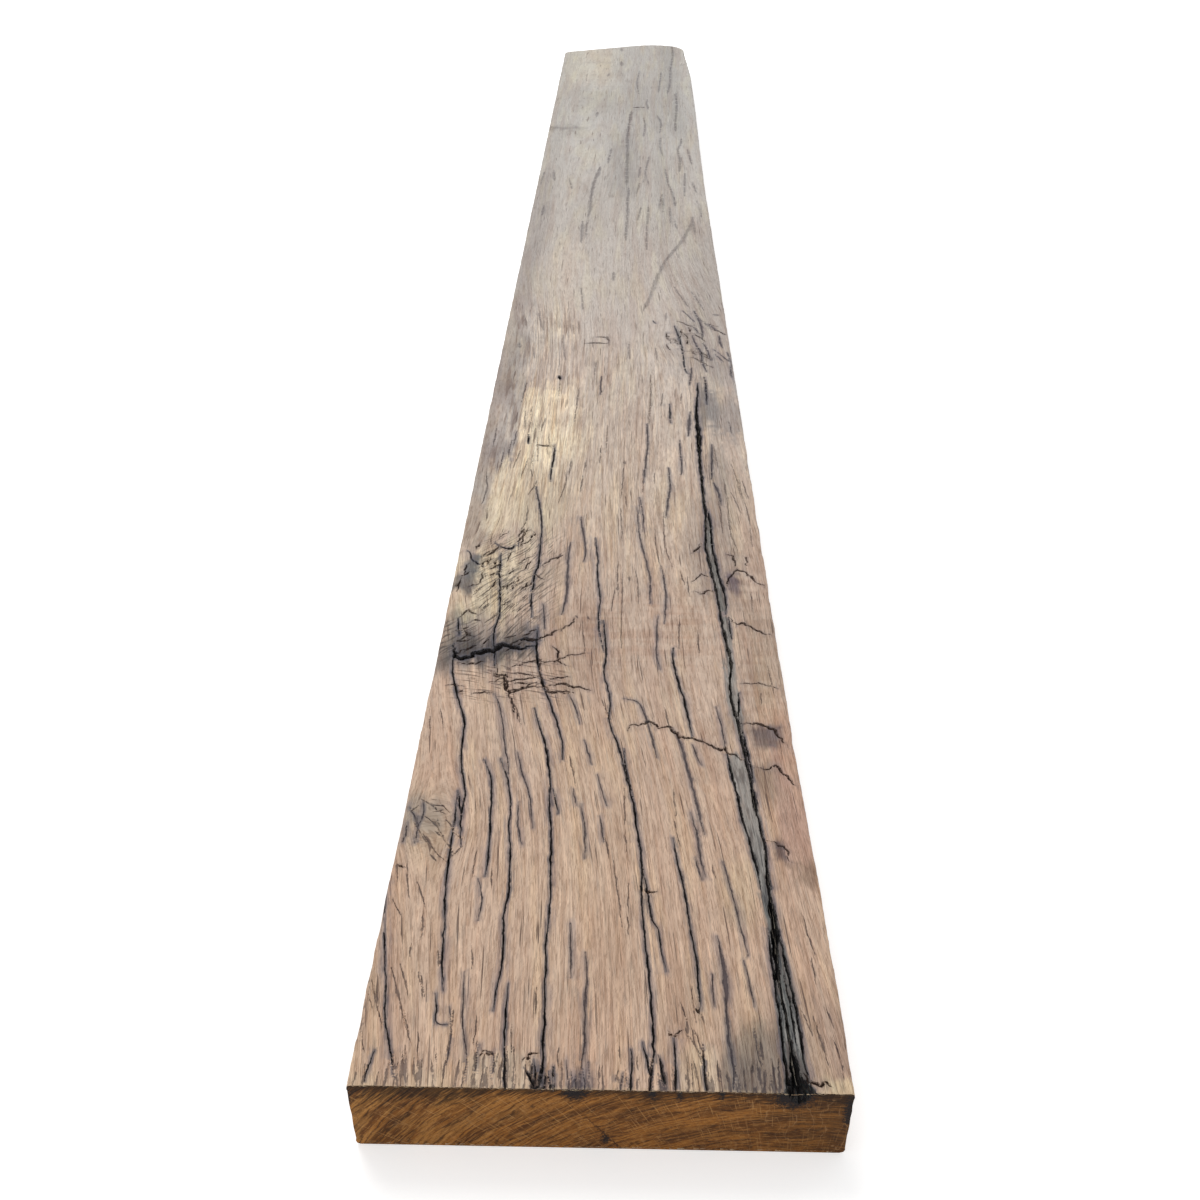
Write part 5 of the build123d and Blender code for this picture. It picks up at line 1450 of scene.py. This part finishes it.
# %% Wood seen on its end
def end_grain(name, dull):
    """End grain with its rings and rays, for the fresh cut or, dull, for the old weathered one."""
    material, tree = new_material(name)
    rings = node(tree, "ShaderNodeAttribute", {"attribute_name": "rings"}, "Vector")
    crust_at, blot_at, across_at = three_of(tree, "end_stain")
    leftward = node(tree, "ShaderNodeMapRange", SMOOTH, Value=across_at, From_Min=10.0, From_Max=-100.0)
    rightward = node(tree, "ShaderNodeMapRange", SMOOTH, Value=across_at, From_Min=55.0, From_Max=118.0)

    # Good years are golden and poor ones dark; each is a band along the rings.
    clouds = dashes(tree, rings, (34, 8), (0.4, 0.6), 53.0, 3.0)
    wood = stain(tree, linear("#70451F"), "#A26A31", clouds)
    golden = dashes(tree, rings, (20, 8), (0.44, 0.56), 59.0, 3.0)
    wood = stain(tree, wood, "#CE9350", golden, leftward, 0.5)
    years = dashes(tree, rings, (40, 3.6), (0.46, 0.58), 61.0, 3.0)
    wood = stain(tree, wood, "#472B15", years, 0.42)

    # Each year starts with a thin dark line of spring wood, about three millimetres from the last.
    outward = node(tree, "ShaderNodeSeparateXYZ", Vector=rings, output=1)
    outward = frayed(tree, outward, rings, (36, 12), 3.2, 63.0)
    outward = frayed(tree, outward, rings, (3.4, 1.2), 0.34, 65.0)
    from_ring = node(tree, "ShaderNodeMath", {"operation": "PINGPONG"}, _0=outward, _1=1.5)
    ring_line = node(tree, "ShaderNodeMapRange", SMOOTH, Value=from_ring, From_Min=0.5, From_Max=0.1)
    ring_glow = node(tree, "ShaderNodeMapRange", SMOOTH, Value=from_ring, From_Min=0.6, From_Max=1.3)
    ring_fade = node(tree, "ShaderNodeMapRange", Value=leftward, To_Min=0.7, To_Max=0.75)
    broken = dashes(tree, rings, (16, 3.4), (0.36, 0.54), 67.0)
    wood = stain(tree, wood, "#341F10", ring_line, broken, ring_fade)
    wood = stain(tree, wood, "#BF864A", ring_glow, broken, ring_fade, 0.45)

    # Finer dark and pale lines follow the rings, and the vessels of the spring wood are dark dots.
    dark_lines = dashes(tree, rings, (6, 0.8), (0.54, 0.6), 83.0, 3.0)
    wood = stain(tree, wood, "#3A2313", dark_lines, 0.3)
    wood = stain(tree, wood, "#C9945A", dashes(tree, rings, (5, 0.75), (0.56, 0.62), 87.0, 3.0), 0.36)
    vessels = dashes(tree, rings, (1.0, 0.7), (0.57, 0.62), 3.0)
    wood = stain(tree, wood, "#2A190E", vessels, 0.3)

    # Rays cross the rings as pale hairs. To the right they are long and stand a centimetre apart.
    wood = stain(tree, wood, "#C8965F", dashes(tree, rings, (0.5, 15), (0.65, 0.69), 11.0, 1.0), 0.45)
    round_pith = node(tree, "ShaderNodeSeparateXYZ", Vector=rings)
    from_ray = frayed(tree, round_pith, rings, (12, 18), 5.0, 31.0)
    from_ray = frayed(tree, from_ray, rings, (2, 5), 0.4, 33.0)
    from_ray = node(tree, "ShaderNodeMath", {"operation": "PINGPONG"}, _0=from_ray, _1=4.6)
    ray_line = node(tree, "ShaderNodeMapRange", SMOOTH, Value=from_ray, From_Min=0.45, From_Max=0.1)
    ray_broken = dashes(tree, rings, (5, 20), (0.34, 0.46), 35.0)
    ray_fade = node(tree, "ShaderNodeMapRange", Value=rightward, To_Min=0.15, To_Max=0.62)
    wood = stain(tree, wood, "#C39566", ray_line, ray_broken, ray_fade)
    wood = stain(tree, wood, "#33200F", rightward, 0.42)

    # One drying check runs up from the bottom along a ray, and fades before it reaches the top.
    from_check = frayed(tree, round_pith, rings, (2.0, 2.0), 0.8, 71.0)
    from_check = node(tree, "ShaderNodeMath", {"operation": "ADD"}, _0=from_check, _1=RAY_CHECK)
    from_check = node(tree, "ShaderNodeMath", {"operation": "ABSOLUTE"}, _0=from_check)
    ray_check = node(tree, "ShaderNodeMapRange", SMOOTH, Value=from_check, From_Min=0.75, From_Max=0.2)
    check_fade = node(tree, "ShaderNodeMapRange", SMOOTH, Value=outward, From_Min=204.0, From_Max=176.0)
    wood = stain(tree, wood, "#24120B", ray_check, check_fade, 0.85)

    # The weather's dark crust hangs down from the face, and black stain spreads round the checks.
    crust_edge = frayed(tree, crust_at, rings, (6, 0.9), 0.7, 21.0)
    crust_share = node(tree, "ShaderNodeMapRange", SMOOTH, Value=crust_edge, From_Min=-0.5, From_Max=0.7)
    wood = stain(tree, wood, "#21150D", crust_share, 0.82)
    blot_edge = frayed(tree, blot_at, rings, (1.1, 0.9), 0.3, 25.0)
    blot_share = node(tree, "ShaderNodeMapRange", SMOOTH, Value=blot_edge, From_Min=0.25, From_Max=0.8)
    wood = stain(tree, wood, "#19171A", blot_share, 0.93)
    wood = stain(tree, wood, "#A39C92", dull)

    relief = node(tree, "ShaderNodeMath", {"operation": "MULTIPLY"}, _0=dark_lines, _1=-0.5)
    relief = node(tree, "ShaderNodeMath", {"operation": "MULTIPLY_ADD"}, _0=ring_line, _1=-0.5, _2=relief)
    bump = node(tree, "ShaderNodeBump", Strength=0.6, Distance=0.0003, Height=relief)
    shader = node(tree, "ShaderNodeBsdfPrincipled", Base_Color=wood, Roughness=0.7, IOR=1.5, Normal=bump,
                  Specular_IOR_Level=0.14)
    node(tree, "ShaderNodeOutputMaterial", Surface=shader)
    return material


# %% The two ends' materials
end_oak = end_grain("fresh_sawn_oak_end_grain", 0.0)
far_end_oak = end_grain("weathered_oak_end_grain", 0.62)

mesh.materials.append(oak)
mesh.materials.append(end_oak)
mesh.materials.append(far_end_oak)
print([wood.name for wood in mesh.materials])

# %% [markdown]
# ## Torn fibres
# A saw leaves a fringe of torn fibres along its edges, and hair-thin splinters hang in the long
# split. They repeat by the hundred and each follows an edge, which is what Geometry Nodes do best:
# one small spike is set down along a path, turned and sized at random from a fixed seed. The
# spikes are a little thicker than real fibres, because at their real width they would not show.

# %% The fibres' two materials
def fibre_material(name, dark, light):
    """Dull frayed wood, from dark to light every few millimetres."""
    fibre, tree = new_material(name)
    place = node(tree, "ShaderNodeTexCoord", output="Object")
    patchy = node(tree, "ShaderNodeTexNoise", Vector=place, Scale=260.0, Detail=2.0)
    share = node(tree, "ShaderNodeMapRange", SMOOTH, Value=patchy, From_Min=0.38, From_Max=0.62)
    colour = stain(tree, linear(dark), light, share)
    shader = node(tree, "ShaderNodeBsdfPrincipled", Base_Color=colour, Roughness=0.8, IOR=1.45)
    node(tree, "ShaderNodeOutputMaterial", Surface=shader)
    return fibre


# Fibres just torn by the saw are pale; those in the old split went grey with the face.
torn_fibre = fibre_material("torn_oak_fibre", "#8C6F53", "#E0C8A6")
grey_fibre = fibre_material("weathered_grey_oak_fibre", "#3E3935", "#7C7468")

# %% The fibres' tree of nodes
fringe = bpy.data.node_groups.new("torn_fibres", "GeometryNodeTree")
fringe.interface.new_socket(name="Geometry", in_out="INPUT", socket_type="NodeSocketGeometry")
for name, kind in (("Spacing", "Float"), ("Fibre Length", "Float"), ("Fibre Width", "Float"),
                   ("Lie", "Vector"), ("Spread", "Vector"), ("Scatter", "Vector"), ("Seed", "Int"),
                   ("Wood", "Material")):
    fringe.interface.new_socket(name=name, in_out="INPUT", socket_type="NodeSocket" + kind)
fringe.interface.new_socket(name="Geometry", in_out="OUTPUT", socket_type="NodeSocketGeometry")
given = node(fringe, "NodeGroupInput").node.outputs
line = node(fringe, "GeometryNodeMeshToCurve", Mesh=given["Geometry"])
feet = node(fringe, "GeometryNodeCurveToPoints", {"mode": "LENGTH"}, Curve=line, Length=given["Spacing"])
back = node(fringe, "ShaderNodeVectorMath", {"operation": "SCALE"}, _0=given["Scatter"], Scale=-1.0)
push = node(fringe, "FunctionNodeRandomValue", {"data_type": "FLOAT_VECTOR"}, _0=back, _1=given["Scatter"],
            Seed=given["Seed"])
feet = node(fringe, "GeometryNodeSetPosition", Geometry=feet, Offset=push)
spike = node(fringe, "GeometryNodeMeshCone", Vertices=5, Radius_Top=0.0, Radius_Bottom=given["Fibre Width"],
             Depth=given["Fibre Length"])
back = node(fringe, "ShaderNodeVectorMath", {"operation": "SCALE"}, _0=given["Spread"], Scale=-1.0)
turn_seed = node(fringe, "ShaderNodeMath", _0=given["Seed"], _1=5.0)
turn = node(fringe, "FunctionNodeRandomValue", {"data_type": "FLOAT_VECTOR"}, _0=back, _1=given["Spread"],
            Seed=turn_seed)
lie = node(fringe, "ShaderNodeVectorMath", _0=given["Lie"], _1=turn)
size_seed = node(fringe, "ShaderNodeMath", _0=given["Seed"], _1=9.0)
size = node(fringe, "FunctionNodeRandomValue", {"data_type": "FLOAT_VECTOR"}, _0=(0.5, 0.5, 0.3),
            _1=(1.3, 1.3, 1.4), Seed=size_seed)
spikes = node(fringe, "GeometryNodeInstanceOnPoints", Points=feet, Instance=spike, Rotation=lie, Scale=size)
real = node(fringe, "GeometryNodeRealizeInstances", Geometry=spikes)
dressed = node(fringe, "GeometryNodeSetMaterial", Geometry=real, Material=given["Wood"])
node(fringe, "NodeGroupOutput", Geometry=dressed)


def torn_fibres(name, path, settings):
    """Fibres along a path of points in the board's millimetres, as a plain mesh."""
    path_mesh = bpy.data.meshes.new(name + "_path")
    path_mesh.from_pydata(to_frame(path).tolist(), [(k, k + 1) for k in range(len(path) - 1)], [])
    carrier = bpy.data.objects.new(name + "_path", path_mesh)
    bpy.context.scene.collection.objects.link(carrier)
    modifier = carrier.modifiers.new("fibres", "NODES")
    modifier.node_group = fringe
    for item in fringe.interface.items_tree:
        if item.in_out == "INPUT" and item.name in settings:
            modifier[item.identifier] = settings[item.name]
    evaluated = carrier.evaluated_get(bpy.context.evaluated_depsgraph_get())
    plain = bpy.data.meshes.new_from_object(evaluated)
    bpy.data.objects.remove(carrier)
    made = bpy.data.objects.new(name, plain)
    plain.name = name
    bpy.context.scene.collection.objects.link(made)
    print(name, len(plain.polygons), "faces")
    return made


# %% Fibres on the sawn edges and in the split
near_top = [(place[0], 0.28, place[2] - 0.25) for place in every[cut_numbers] if place[2] > THICKNESS - 1.5]
top_fringe = torn_fibres("fibres_on_top_of_saw_cut", near_top, {
    "Spacing": 1.7 * MM, "Fibre Length": 2.6 * MM, "Fibre Width": 0.12 * MM, "Lie": (0.0, 1.7, 0.0),
    "Spread": (0.03, 0.16, 0.03), "Scatter": (1.0 * MM, 0.0, 0.15 * MM), "Seed": 4, "Wood": torn_fibre})
near_bottom = [(place, 0.28, 1.3) for place in range(-112, 113, 4)]
bottom_fringe = torn_fibres("fibres_under_saw_cut", near_bottom, {
    "Spacing": 2.2 * MM, "Fibre Length": 3.0 * MM, "Fibre Width": 0.14 * MM, "Lie": (0.0, 1.57, 0.0),
    "Spread": (0.03, 0.14, 0.02), "Scatter": (2.0 * MM, 0.0, 0.3 * MM), "Seed": 8, "Wood": torn_fibre})
in_split = [(place[0], place[1], THICKNESS - 2.6) for place in SPLIT[2:-3]]
split_fibres = torn_fibres("splinters_in_split", in_split, {
    "Spacing": 6.0 * MM, "Fibre Length": 14.0 * MM, "Fibre Width": 0.2 * MM, "Lie": (-1.6, 0.0, 0.0),
    "Spread": (0.03, 0.0, 0.12), "Scatter": (0.9 * MM, 1.0 * MM, 0.9 * MM), "Seed": 15, "Wood": grey_fibre})
for piece in (top_fringe, bottom_fringe, split_fibres):
    spans = np.array([list(corner.co) for corner in piece.data.vertices])
    print(piece.name, (spans.min(0) / MM).round(2), (spans.max(0) / MM).round(2))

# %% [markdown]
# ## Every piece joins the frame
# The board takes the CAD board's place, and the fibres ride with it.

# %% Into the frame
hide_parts("plank")
for piece in (board, top_fringe, bottom_fringe, split_fibres):
    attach(piece, "root")
